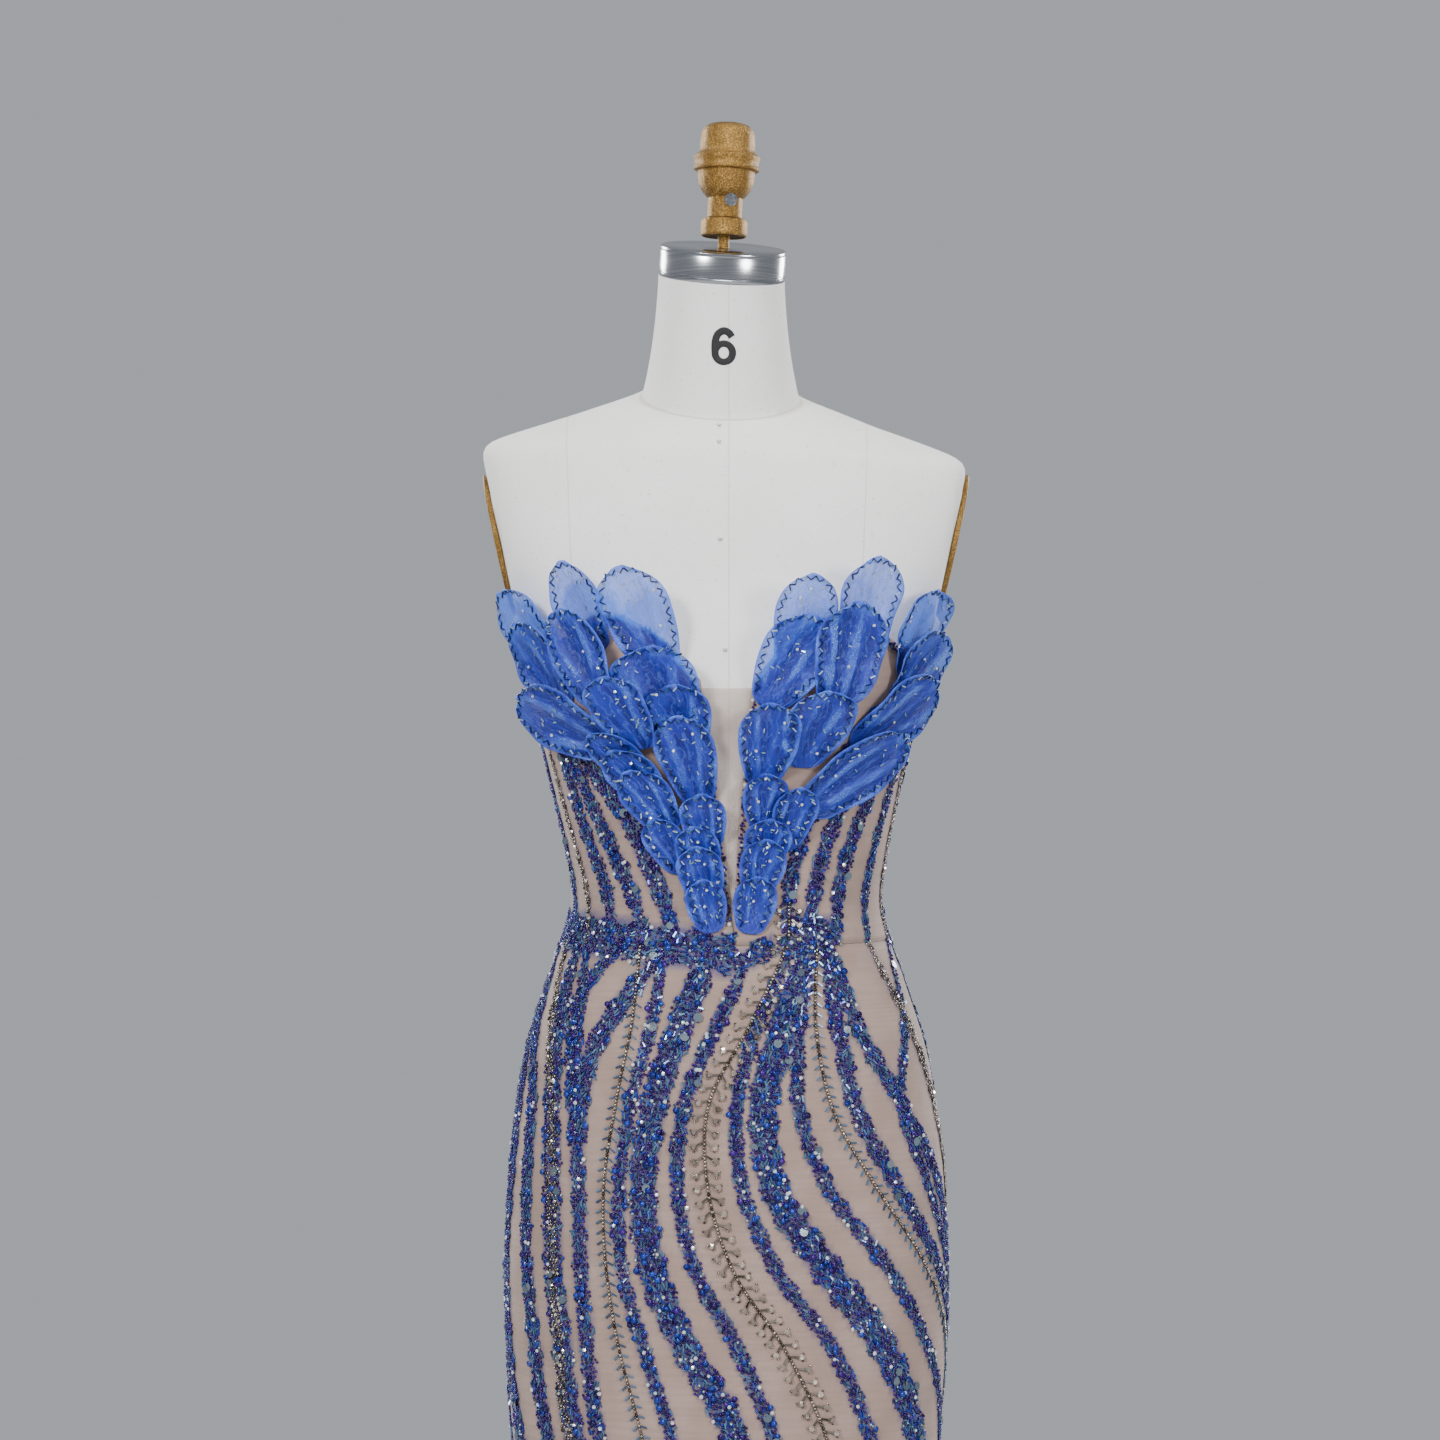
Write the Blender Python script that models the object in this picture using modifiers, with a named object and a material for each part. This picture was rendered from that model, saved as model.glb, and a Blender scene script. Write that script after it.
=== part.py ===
"""Strapless mermaid evening gown with organza petals, standing on a limbless dress form.

Metres, +Z up. The front faces -Y and the viewer's right is +X. The origin is on the floor,
under the middle of the hem. The gown is a tube of shaped panels: every point of it is given
by an angle round from the centre front and a height, and the form inside is the same
surface moved in, so that the facets of both stay parallel.
"""
import math

import bmesh
import bpy
import numpy as np
from mathutils import Matrix, Vector

# Cloth and seams
WALL = 0.0014
NET_WALL = 0.0010
PETAL_WALL = 0.0010
SEAM_GAP = 0.0003
FORM_CLEARANCE = 0.0007
FORM_CUP_SHARE = 0.95
LAYER_GAP = 0.00035

# Heights on the gown and the form
HEM = 0.012
WAIST_SEAM = 1.020
ZIP_BOTTOM = 0.894
PLUNGE_POINT = 1.032
NET_TOP = 1.214
FORM_BOTTOM = 0.715

# The gown's outer face: half its width at the sides, its depth in front and behind the
# side seams, and how square the section is (2 is an ellipse)
BODY_SECTIONS = [
    # height, half_width, front, back, squareness
    (0.012, 0.300, 0.300, 0.300, 2.00),
    (0.060, 0.276, 0.272, 0.277, 2.00),
    (0.120, 0.246, 0.236, 0.245, 2.00),
    (0.200, 0.208, 0.192, 0.205, 2.00),
    (0.280, 0.180, 0.160, 0.172, 2.00),
    (0.360, 0.161, 0.138, 0.148, 2.05),
    (0.440, 0.154, 0.126, 0.135, 2.10),
    (0.520, 0.156, 0.120, 0.130, 2.10),
    (0.600, 0.163, 0.117, 0.130, 2.15),
    (0.660, 0.168, 0.115, 0.134, 2.20),
    (0.740, 0.172, 0.114, 0.138, 2.20),
    (0.800, 0.171, 0.114, 0.140, 2.20),
    (0.855, 0.168, 0.113, 0.139, 2.20),
    (0.894, 0.163, 0.112, 0.134, 2.20),
    (0.933, 0.156, 0.111, 0.125, 2.20),
    (0.972, 0.144, 0.107, 0.112, 2.20),
    (1.011, 0.130, 0.101, 0.100, 2.20),
    (1.045, 0.121, 0.097, 0.092, 2.20),
    (1.089, 0.125, 0.097, 0.091, 2.20),
    (1.128, 0.133, 0.100, 0.095, 2.20),
    (1.167, 0.142, 0.103, 0.101, 2.20),
    (1.206, 0.153, 0.105, 0.106, 2.20),
    (1.260, 0.167, 0.101, 0.109, 2.25),
    (1.310, 0.184, 0.094, 0.108, 2.30),
    (1.360, 0.196, 0.082, 0.098, 2.35),
    (1.400, 0.202, 0.070, 0.085, 2.40),
]

# Cups, as a rounded swelling each side of the centre front
CUP_ANGLE = math.radians(37)
CUP_SPREAD = math.radians(17)
CUP_HEIGHT = 1.212
CUP_RISE = 0.024
CUP_FADE_UP = 0.045
CUP_FADE_DOWN = 0.034

# Mermaid hem: flutes that grow from the knee down
FLUTES = 8
FLUTE_DEPTH = 0.013
FLUTE_START = 0.44
FLUTE_SWAY = 0.35

# Top edge of the bodice
TOP_EDGE = [
    # degrees_from_front, height
    (0, 1.206),
    (12, 1.221),
    (21, 1.247),
    (30, 1.262),
    (38, 1.270),
    (60, 1.247),
    (90, 1.212),
    (120, 1.178),
    (150, 1.163),
    (180, 1.160),
]

# Rows and columns shared by the cloth and the form
COLUMN_STEP = math.radians(7.5)
SKIRT_ROWS = [0.012, 0.060, 0.120, 0.190, 0.260, 0.340, 0.420, 0.500, 0.575, 0.645,
              0.715, 0.785, 0.845, 0.894, 0.933, 0.972, 1.020]
BODICE_ROWS = [1.020, 1.045, 1.070, 1.095, 1.120, 1.142, 1.162, 1.182, 1.202, 1.223,
               1.247, 1.272]
CHEST_ROWS = [1.292, 1.315, 1.338, 1.360, 1.380, 1.396]
# The lowest strip of cloth between the last shared row and an edge
LEAST_ROW = 0.006

# Plunge between the bodice fronts
PLUNGE_SHIFT = 0.0055
PLUNGE_HALF_WIDTH = 0.0255
PLUNGE_CURVE = 1.35
PLUNGE_POINT_HALF_WIDTH = 0.0005
# The centre line leans over this share of the plunge's height
PLUNGE_LEAN_SHARE = 0.8
NET_START = 0.004
NET_INSET = 0.0004

# Zip at the centre back: tape and teeth, slider and hinged pull tab
ZIP_HALF_WIDTH = 0.0022
ZIP_TOP_MARGIN = 0.0015
SLIDER_HEIGHT = 1.150
SLIDER_SIZE = (0.0052, 0.0018, 0.0090)
BAIL_WIDTH = 0.0012
BAIL_WALL = 0.0009
BAIL_HALF_OPENING = 0.0015
BAIL_OPENING_DEPTH = 0.0022
TAB_AXIS_RISE = 0.00115
TAB_THICKNESS = 0.0010
TAB_LENGTH = 0.0175
TAB_HALF_WIDTH = 0.0024
TAB_END_RADIUS = 0.0019
TAB_WINDOW_HALF_WIDTH = 0.0011
TAB_WINDOW_END = 0.0036

# Form above the chest
ARM_PLANE_HALF_WIDTH = 0.1635
ARM_PLANE_HEIGHT = 1.280
ARM_PLANE_SLOPE = 0.217
# half_width, half_depth, centre across, centre in depth, height, dip of the front
NECK_SEAM = (0.0615, 0.056, -0.004, 0.002, 1.441, 0.0215)
# half_width, half_depth, centre across, centre in depth, height
NECK_TOP = (0.0490, 0.052, -0.0035, -0.016, 1.533)
HEAD_TILT = math.radians(12.7)
HEAD_ROLL = math.radians(3.5)
# How far the form drops towards the viewer's right, for each metre across
SHOULDER_DROP = 0.035
SHOULDER_RINGS = 4
SHOULDER_CROWN = 0.002
NECK_RINGS = 4
NECK_HOLLOW = 0.045
NECK_HOLLOW_SPREAD = 0.8

ARM_PLATE_HALF_HEIGHT = 0.056
ARM_PLATE_HALF_DEPTH = 0.040
ARM_PLATE_THICKNESS = 0.0047
ARM_PLATE_BEVEL = 0.0010
ARM_PLATE_CENTRE = (0.003, 1.327)
CAP_HEIGHT = 0.023
CAP_BEVEL = 0.0012

# Cast knob: its dome and bowl are oval arcs between the heights given here
KNOB_LEAN = math.radians(2.4)
KNOB_TOP = 1.6520
DOME_BOTTOM = 1.6340
DOME_RADIUS = 0.0212
DOME_FLATNESS = 0.55
KNOB_RING = [
    # radius, height
    (0.0217, 1.6285),
    (0.0247, 1.6268),
    (0.0257, 1.6225),
    (0.0254, 1.6160),
    (0.0222, 1.6145),
]
BOWL_RADIUS = 0.0220
BOWL_TOP = 1.6130
STEM_TOP = 1.5935
STEM_RADIUS = 0.0135
KNOB_FLANGE = [
    # radius, height
    (0.0135, 1.5785),
    (0.0180, 1.5770),
    (0.0180, 1.5660),
    (0.0165, 1.5640),
]
ROD_RADIUS = 0.0045
SCREW_HEIGHT = 1.5900
SCREW_RADIUS = 0.005
SCREW_LENGTH = 0.005
SCREW_BEVEL = 0.0006
SCREW_OFFSET = 0.0045
SCREW_SEAT = 0.0167

BASE_PROFILE = [
    # radius, height
    (0.000, 0.055),
    (0.026, 0.055),
    (0.028, 0.050),
    (0.030, 0.030),
    (0.055, 0.017),
    (0.185, 0.012),
    (0.197, 0.009),
    (0.200, 0.004),
    (0.200, 0.000),
    (0.000, 0.000),
]
POLE_RADIUS = 0.0125
POLE_BEVEL = 0.0008

# Petals, with the ones that lie underneath first in each fan
PETALS = [
    # name, degrees_from_front, root_height, lean_degrees, length, width, tip_lift
    ("left_01", -60, 1.222, -30, 0.077, 0.052, 0.015),
    ("left_03", -22, 1.226, -15, 0.082, 0.043, 0.008),
    ("left_02", -43, 1.239, -14, 0.073, 0.042, 0.009),
    ("left_04", -55, 1.194, -26, 0.078, 0.050, 0.011),
    ("left_06", -20, 1.171, -5, 0.075, 0.051, 0.006),
    ("left_05", -38, 1.200, -17, 0.077, 0.040, 0.008),
    ("left_07", -41, 1.170, -56, 0.066, 0.050, 0.010),
    ("left_09", -14, 1.166, -7, 0.051, 0.040, 0.005),
    ("left_08", -29, 1.168, -12, 0.056, 0.034, 0.006),
    ("left_10", -11, 1.126, -8, 0.068, 0.037, 0.006),
    ("left_11", -29, 1.143, -37, 0.045, 0.029, 0.006),
    ("left_12", -26, 1.121, -25, 0.051, 0.033, 0.006),
    ("left_13", -23, 1.106, -23, 0.050, 0.034, 0.006),
    ("left_14", -8, 1.092, -4, 0.043, 0.031, 0.005),
    ("left_15", -19, 1.075, -22, 0.044, 0.028, 0.005),
    ("left_16", -9, 1.068, -10, 0.043, 0.031, 0.005),
    ("left_17", -8, 1.050, -9, 0.046, 0.032, 0.005),
    ("left_18", -6, 1.030, -10, 0.041, 0.029, 0.004),
    ("right_01", 23, 1.229, 7, 0.071, 0.038, 0.008),
    ("right_03", 62, 1.220, 12, 0.071, 0.056, 0.014),
    ("right_02", 42, 1.236, 4, 0.077, 0.048, 0.009),
    ("right_04", 15, 1.199, 19, 0.074, 0.042, 0.007),
    ("right_06", 58, 1.196, 34, 0.072, 0.052, 0.012),
    ("right_05", 35, 1.200, 5, 0.079, 0.049, 0.008),
    ("right_07", 46, 1.166, 48, 0.078, 0.052, 0.010),
    ("right_09", 29, 1.154, 3, 0.058, 0.040, 0.006),
    ("right_08", 15, 1.140, -1, 0.063, 0.038, 0.005),
    ("right_10", 33, 1.121, 44, 0.079, 0.046, 0.008),
    ("right_11", 16, 1.106, -3, 0.044, 0.031, 0.005),
    ("right_12", 25, 1.092, 6, 0.048, 0.030, 0.006),
    ("right_13", 16, 1.076, 3, 0.040, 0.033, 0.005),
    ("right_14", 13, 1.056, 7, 0.045, 0.032, 0.005),
    ("right_15", 10, 1.029, 7, 0.044, 0.031, 0.004),
]
# Outline: width at the root, place of the greatest width, and how the tip closes and curves
PETAL_ROOT_SHARE = 0.58
PETAL_WIDEST = 0.6
PETAL_TIP_CLOSE = 0.93
PETAL_TIP_CURVE = 0.08
# Lift: slope, power of the tip's curl, depth of the cup, its share at the root, and the share
# of it that every third petal has, the other way up
PETAL_SLOPE = 0.10
PETAL_CURL = 2.5
PETAL_CUP = 0.0014
PETAL_ROOT_CUP = 0.3
REVERSE_CUP = -0.6
PETAL_ROWS = 6
PETAL_COLUMNS = 5
# How far past its edges a petal counts as covering a place, as a share of its quads
COVER_MARGIN = 0.12
CARRIER_TOP = 1.232
CARRIER_SOFTNESS = 0.012

COLOURS = {
    # material: red, green, blue, roughness, metallic
    "nude_tulle": (0.36, 0.26, 0.215, 0.75, 0.0),
    "beaded_tulle": (0.13, 0.12, 0.32, 0.55, 0.0),
    "blue_organza": (0.03, 0.11, 0.55, 0.40, 0.0),
    "white_canvas": (0.78, 0.76, 0.73, 0.80, 0.0),
    "polished_steel": (0.55, 0.55, 0.56, 0.18, 1.0),
    "sand_cast_brass": (0.72, 0.50, 0.19, 0.38, 1.0),
    "painted_steel": (0.04, 0.04, 0.045, 0.45, 0.6),
    "zip_tape": (0.36, 0.26, 0.215, 0.65, 0.0),
    "nickel": (0.62, 0.60, 0.57, 0.25, 1.0),
}


def clear_scene():
    for item in list(bpy.data.objects):
        bpy.data.objects.remove(item, do_unlink=True)


def make_collection(name):
    group = bpy.data.collections.new(name)
    bpy.context.scene.collection.children.link(group)
    return group


def make_material(name):
    red, green, blue, roughness, metallic = COLOURS[name]
    material = bpy.data.materials.new(name)
    material.use_nodes = True
    shader = material.node_tree.nodes["Principled BSDF"]
    shader.inputs["Base Color"].default_value = (red, green, blue, 1.0)
    shader.inputs["Roughness"].default_value = roughness
    shader.inputs["Metallic"].default_value = metallic
    return material


def finish_object(name, mesh, group, finish, smooth_angle=40):
    """Put a mesh in the collection as a smooth-shaded object with its own material."""
    mesh.name = name
    mesh.materials.append(make_material(finish))
    mesh.shade_smooth()
    mesh.set_sharp_from_angle(angle=math.radians(smooth_angle))
    item = bpy.data.objects.new(name, mesh)
    group.objects.link(item)
    return item


def smooth_step(value, low, high):
    t = np.clip((np.asarray(value, float) - low) / (high - low), 0.0, 1.0)
    return t * t * (3.0 - 2.0 * t)


def body_section(height):
    """Half width, front depth, back depth and squareness, on a smooth curve through the table."""
    table = np.array(BODY_SECTIONS)
    knots = table[:, 0]
    values = table[:, 1:]
    slopes = np.gradient(values, knots, axis=0)
    height = np.asarray(height, float)
    first = np.clip(np.searchsorted(knots, height, side="right") - 1, 0, len(knots) - 2)
    span = knots[first + 1] - knots[first]
    t = np.clip((height - knots[first]) / span, 0.0, 1.0)[..., None]
    span = span[..., None]
    start = (2 * t**3 - 3 * t**2 + 1) * values[first] + (t**3 - 2 * t**2 + t) * span * slopes[first]
    end = (3 * t**2 - 2 * t**3) * values[first + 1] + (t**3 - t**2) * span * slopes[first + 1]
    return np.moveaxis(start + end, -1, 0)


def cloth_radius(angle, height, cup_share=1.0):
    """Distance of the gown's outer face from the vertical axis."""
    angle, height = np.broadcast_arrays(np.asarray(angle, float), np.asarray(height, float))
    half_width, front, back, squareness = body_section(height)
    depth = np.where(np.cos(angle) > 0, front, back)
    across = (np.abs(np.sin(angle)) / half_width) ** squareness
    along = (np.abs(np.cos(angle)) / depth) ** squareness
    radius = (across + along) ** (-1.0 / squareness)
    fade = np.where(height > CUP_HEIGHT, CUP_FADE_UP, CUP_FADE_DOWN)
    level = np.exp(-0.5 * ((height - CUP_HEIGHT) / fade) ** 2)
    left = np.exp(-0.5 * ((angle + CUP_ANGLE) / CUP_SPREAD) ** 2)
    right = np.exp(-0.5 * ((angle - CUP_ANGLE) / CUP_SPREAD) ** 2)
    growth = smooth_step(FLUTE_START - height, 0.0, FLUTE_START - HEM)
    sway = 1.0 + FLUTE_SWAY * np.cos(4 * angle)
    flutes = FLUTE_DEPTH * growth * np.sin(FLUTES * angle) * sway
    return radius + cup_share * CUP_RISE * level * (left + right) + flutes


def round_axis(radius, angle, height):
    return np.stack([radius * np.sin(angle), -radius * np.cos(angle), height + 0 * radius], -1)


def cloth_point(angle, height, lift=0.0, cup_share=1.0):
    """Point of the gown's outer face, moved along the face's normal by lift."""
    angle, height = np.broadcast_arrays(np.asarray(angle, float), np.asarray(height, float))
    step = 1e-4

    def face(a, h):
        return round_axis(cloth_radius(a, h, cup_share), a, h)

    round_way = face(angle + step, height) - face(angle - step, height)
    up_way = face(angle, height + step) - face(angle, height - step)
    normal = np.cross(round_way, up_way)
    normal /= np.linalg.norm(normal, axis=-1, keepdims=True)
    return face(angle, height) + np.asarray(lift, float)[..., None] * normal


def top_edge(angle):
    degrees, heights = np.array(TOP_EDGE, float).T
    return np.interp(np.abs(np.degrees(angle)), degrees, heights)


def plunge_edge(height, side):
    """Angle of the plunge's edge: a V that opens upwards on a slightly leaning centre line."""
    rise = (height - PLUNGE_POINT) / (BODICE_ROWS[-1] - PLUNGE_POINT)
    half = PLUNGE_POINT_HALF_WIDTH + PLUNGE_HALF_WIDTH * max(rise, 0.0) ** PLUNGE_CURVE
    centre = PLUNGE_SHIFT * (1.0 - min(max(rise, 0.0) / PLUNGE_LEAN_SHARE, 1.0))
    return math.asin((centre + side * half) / float(cloth_radius(0.0, height)))


def grid_object(name, columns, group, finish, wall):
    """Join neighbouring columns of points into an open sheet and give it its wall.

    Columns run upwards and share their rows from the bottom; where one reaches higher, a
    fan of triangles from its neighbour's top closes the rest.
    """
    points = []
    starts = []
    for column in columns:
        starts.append(len(points))
        points.extend(tuple(point) for point in column)
    faces = []
    for index in range(len(columns) - 1):
        here, there = starts[index], starts[index + 1]
        tall, next_tall = len(columns[index]), len(columns[index + 1])
        shared = min(tall, next_tall) - 1
        for row in range(shared):
            faces.append((here + row, there + row, there + row + 1, here + row + 1))
        for row in range(shared, tall - 1):
            faces.append((here + row, there + shared, here + row + 1))
        for row in range(shared, next_tall - 1):
            faces.append((here + shared, there + row, there + row + 1))
    mesh = bpy.data.meshes.new(name)
    mesh.from_pydata(points, [], faces)
    item = finish_object(name, mesh, group, finish)
    shell = item.modifiers.new("wall", "SOLIDIFY")
    shell.thickness = wall
    shell.offset = -1.0
    return item


def panel_angles(first, last):
    """Shared columns from one seam to the next."""
    count = round((last - first) / COLUMN_STEP)
    return [first + index * COLUMN_STEP for index in range(count + 1)]


def seam_shift(height, offset):
    """Angle that a distance along the cloth covers at a height."""
    return offset / float(cloth_radius(math.pi / 2, height))


def centre_back_offset(height):
    """Half the opening between the back panels, wide enough for the zip above its end."""
    if height >= ZIP_BOTTOM:
        return ZIP_HALF_WIDTH + SEAM_GAP
    return SEAM_GAP / 2


def back_angle(height, side):
    """Angle of a back panel's edge beside the centre back."""
    offset = centre_back_offset(height)
    return side * (math.pi - offset / float(cloth_radius(math.pi, height)))


def cloth_column(rows, angle_at):
    return [cloth_point(angle_at(row), row) for row in rows]


def bodice_rows(angle_at):
    """Shared rows of a column below the top edge, and the edge itself."""
    edge = float(top_edge(angle_at(BODICE_ROWS[-2])))
    rows = [row for row in BODICE_ROWS if row < edge - LEAST_ROW] + [edge]
    rows[0] = WAIST_SEAM + SEAM_GAP / 2
    return rows


def bodice_front(side, group):
    """Front from the plunge to the side seam; side is -1 on the viewer's left."""
    inner = math.radians(15)
    angles = panel_angles(inner, math.pi / 2)

    def edge(height):
        return plunge_edge(height, side)

    def seam(height):
        return side * (math.pi / 2 - seam_shift(height, SEAM_GAP / 2))

    ways = [edge] + [lambda height, a=angle: side * a for angle in angles[:-1]] + [seam]
    if side < 0:
        ways.reverse()
    columns = [cloth_column(bodice_rows(way), way) for way in ways]
    name = "bodice_front_left" if side < 0 else "bodice_front_right"
    return grid_object(name, columns, group, "beaded_tulle", WALL)


def bodice_back(side, group):
    """Back from the side seam to the zip."""
    angles = panel_angles(math.pi / 2, math.pi)

    def seam(height):
        return side * (math.pi / 2 + seam_shift(height, SEAM_GAP / 2))

    def zip_edge(height):
        return back_angle(height, side)

    ways = [seam] + [lambda height, a=angle: side * a for angle in angles[1:-1]] + [zip_edge]
    if side < 0:
        ways.reverse()
    columns = [cloth_column(bodice_rows(way), way) for way in ways]
    name = "bodice_back_left" if side < 0 else "bodice_back_right"
    return grid_object(name, columns, group, "beaded_tulle", WALL)


def skirt_rows():
    rows = list(SKIRT_ROWS)
    rows[-1] = WAIST_SEAM - SEAM_GAP / 2
    return rows


def skirt_front(group):
    def seam(side):
        return lambda height: side * (math.pi / 2 - seam_shift(height, SEAM_GAP / 2))

    angles = panel_angles(-math.pi / 2, math.pi / 2)
    ways = [seam(-1)] + [lambda height, a=angle: a for angle in angles[1:-1]] + [seam(1)]
    columns = [cloth_column(skirt_rows(), way) for way in ways]
    return grid_object("skirt_front", columns, group, "beaded_tulle", WALL)


def skirt_back(side, group):
    angles = panel_angles(math.pi / 2, math.pi)

    def seam(height):
        return side * (math.pi / 2 + seam_shift(height, SEAM_GAP / 2))

    def centre(height):
        return back_angle(height, side)

    ways = [seam] + [lambda height, a=angle: side * a for angle in angles[1:-1]] + [centre]
    if side < 0:
        ways.reverse()
    columns = [cloth_column(skirt_rows(), way) for way in ways]
    name = "skirt_back_left" if side < 0 else "skirt_back_right"
    return grid_object(name, columns, group, "beaded_tulle", WALL)


def plunge_net(group):
    """Nude net between the plunge's edges, a seam gap inside them."""
    low_end = PLUNGE_POINT + NET_START
    rows = [low_end] + [row for row in BODICE_ROWS if low_end + LEAST_ROW < row < NET_TOP - LEAST_ROW]
    rows.append(NET_TOP)

    def lane(share):
        column = []
        for height in rows:
            gap = SEAM_GAP / float(cloth_radius(0.0, height))
            low = plunge_edge_chord(height, -1) + gap
            high = plunge_edge_chord(height, 1) - gap
            column.append(cloth_point(low + share * (high - low), height, -NET_INSET))
        return column

    columns = [lane(share) for share in (0.0, 0.5, 1.0)]
    return grid_object("plunge_net", columns, group, "nude_tulle", NET_WALL)


def plunge_edge_chord(height, side):
    """Angle of the plunge's edge between two rows, where the panel's facets run straight."""
    rows = np.array(BODICE_ROWS)
    edges = [plunge_edge(row, side) for row in rows]
    return float(np.interp(height, rows, edges))


def zip_strip(group):
    """Zip tape and teeth between the back panels, from below the top edge to its stop."""
    rows = [row for row in SKIRT_ROWS if row >= ZIP_BOTTOM]
    rows += [row for row in BODICE_ROWS[1:] if row < top_edge(math.pi) - LEAST_ROW]
    rows.append(float(top_edge(math.pi)) - ZIP_TOP_MARGIN)
    rows[0] += SEAM_GAP

    def lane(offset):
        column = []
        for height in rows:
            turn = offset / float(cloth_radius(math.pi, height))
            column.append(cloth_point(math.pi + turn, height))
        return column

    columns = [lane(-ZIP_HALF_WIDTH), lane(0.0), lane(ZIP_HALF_WIDTH)]
    return grid_object("zip_strip", columns, group, "zip_tape", WALL)


def slider_frame():
    """Seat of the zip's slider on the strip, with its +Y square to the strip and +Z up it."""
    rows = [row for row in BODICE_ROWS if row < SLIDER_HEIGHT]
    low = Vector(cloth_point(math.pi, rows[-1]))
    high = Vector(cloth_point(math.pi, top_edge(math.pi) - ZIP_TOP_MARGIN))
    share = (SLIDER_HEIGHT - low.z) / (high.z - low.z)
    slope = math.atan2(high.y - low.y, high.z - low.z)
    return Matrix.Translation(low.lerp(high, share)) @ Matrix.Rotation(-slope, 4, "X")


def tab_axis():
    """Centre of the bar that the pull tab turns on, under the slider's bail."""
    return slider_frame() @ Vector((0.0, SEAM_GAP + SLIDER_SIZE[1] + TAB_AXIS_RISE, 0.0))


def box_mesh(name, low, high):
    body = bmesh.new()
    bmesh.ops.create_cube(body, size=1.0)
    low, high = Vector(low), Vector(high)
    bmesh.ops.scale(body, vec=high - low, verts=body.verts)
    bmesh.ops.translate(body, vec=(low + high) / 2, verts=body.verts)
    mesh = bpy.data.meshes.new(name)
    body.to_mesh(mesh)
    body.free()
    return mesh


def combine(item, mesh, operation, helpers):
    """Join a helper to a solid or cut it away, with a Boolean modifier."""
    tool = bpy.data.objects.new(mesh.name, mesh)
    helpers.objects.link(tool)
    tool.matrix_world = item.matrix_world
    tool.hide_render = True
    tool.display_type = "WIRE"
    step = item.modifiers.new(mesh.name, "BOOLEAN")
    step.operation = operation
    step.object = tool


def zip_slider(group, helpers):
    """Flat slider body with a square bail over it, under which the tab's bar lies."""
    width, depth, height = SLIDER_SIZE
    face = SEAM_GAP + depth
    body = box_mesh("zip_slider", (-width / 2, SEAM_GAP, -height / 2), (width / 2, face, height / 2))
    slider = finish_object("zip_slider", body, group, "nickel")
    slider.matrix_world = slider_frame()
    reach = BAIL_HALF_OPENING + BAIL_WALL
    sunk = face - depth / 3
    crown = face + BAIL_OPENING_DEPTH
    bail = box_mesh("bail", (-BAIL_WIDTH / 2, sunk, -reach), (BAIL_WIDTH / 2, crown + BAIL_WALL, reach))
    combine(slider, bail, "UNION", helpers)
    opening = box_mesh("bail_opening", (-BAIL_WIDTH, face, -BAIL_HALF_OPENING),
                       (BAIL_WIDTH, crown, BAIL_HALF_OPENING))
    combine(slider, opening, "DIFFERENCE", helpers)


def zip_tab(group):
    """Teardrop pull tab that hangs from its bar; its origin is on the hinge's axis."""
    outline = bpy.data.curves.new("zip_tab", "CURVE")
    outline.dimensions = "2D"
    outline.fill_mode = "BOTH"
    outline.extrude = TAB_THICKNESS / 2
    bar = TAB_THICKNESS / 2
    end = bar - TAB_LENGTH + TAB_END_RADIUS
    turns = [math.pi * index / 8 for index in range(9)]
    tip = [(-TAB_END_RADIUS * math.cos(turn), end - TAB_END_RADIUS * math.sin(turn)) for turn in turns]
    edge = [(-TAB_HALF_WIDTH, bar)] + tip + [(TAB_HALF_WIDTH, bar)]
    window = [(-TAB_WINDOW_HALF_WIDTH, -bar), (TAB_WINDOW_HALF_WIDTH, -bar),
              (TAB_WINDOW_HALF_WIDTH, -TAB_WINDOW_END), (-TAB_WINDOW_HALF_WIDTH, -TAB_WINDOW_END)]
    for loop in (edge, window):
        spline = outline.splines.new("POLY")
        spline.points.add(len(loop) - 1)
        for point, (across, up) in zip(spline.points, loop):
            point.co = (across, up, 0.0, 1.0)
        spline.use_cyclic_u = True
    outline.materials.append(make_material("nickel"))
    tab = bpy.data.objects.new("zip_tab", outline)
    group.objects.link(tab)
    tab.matrix_world = Matrix.Translation(tab_axis()) @ Matrix.Rotation(math.pi / 2, 4, "X")


def petal_outline(root, lean, length, width):
    """Angle and height of a petal's points, with how far along and across each one is.

    The petal is narrow at its root, widest past its middle and round at its tip. It is laid
    out flat, turned by its lean from upright, and wrapped round the gown at its root's radius.
    """
    steps = np.linspace(0, 1, PETAL_ROWS + 1)
    along, across = np.meshgrid(steps, np.linspace(-1, 1, PETAL_COLUMNS + 1), indexing="ij")
    spread = np.sin(0.5 * math.pi * np.minimum(along / PETAL_WIDEST, 1.0))
    swell = PETAL_ROOT_SHARE + (1.0 - PETAL_ROOT_SHARE) * spread
    past = np.maximum(along - PETAL_WIDEST, 0.0) / (1.0 - PETAL_WIDEST)
    close = np.sqrt(1.0 - (PETAL_TIP_CLOSE * past) ** 2)
    sideways = across * 0.5 * width * swell * close
    forward = length * (along - PETAL_TIP_CURVE * across**2 * along**2)
    turn = math.radians(lean)
    round_way = forward * math.sin(turn) + sideways * math.cos(turn)
    up_way = forward * math.cos(turn) - sideways * math.sin(turn)
    angle, height = root
    carrier = float(cloth_radius(angle, height))
    return angle + round_way / carrier, height + up_way, along, across


def carrier_height(height):
    """Height that petals take their radius from: past the cups they stand straight up."""
    return CARRIER_TOP - CARRIER_SOFTNESS * np.logaddexp(0.0, (CARRIER_TOP - height) / CARRIER_SOFTNESS)


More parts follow.
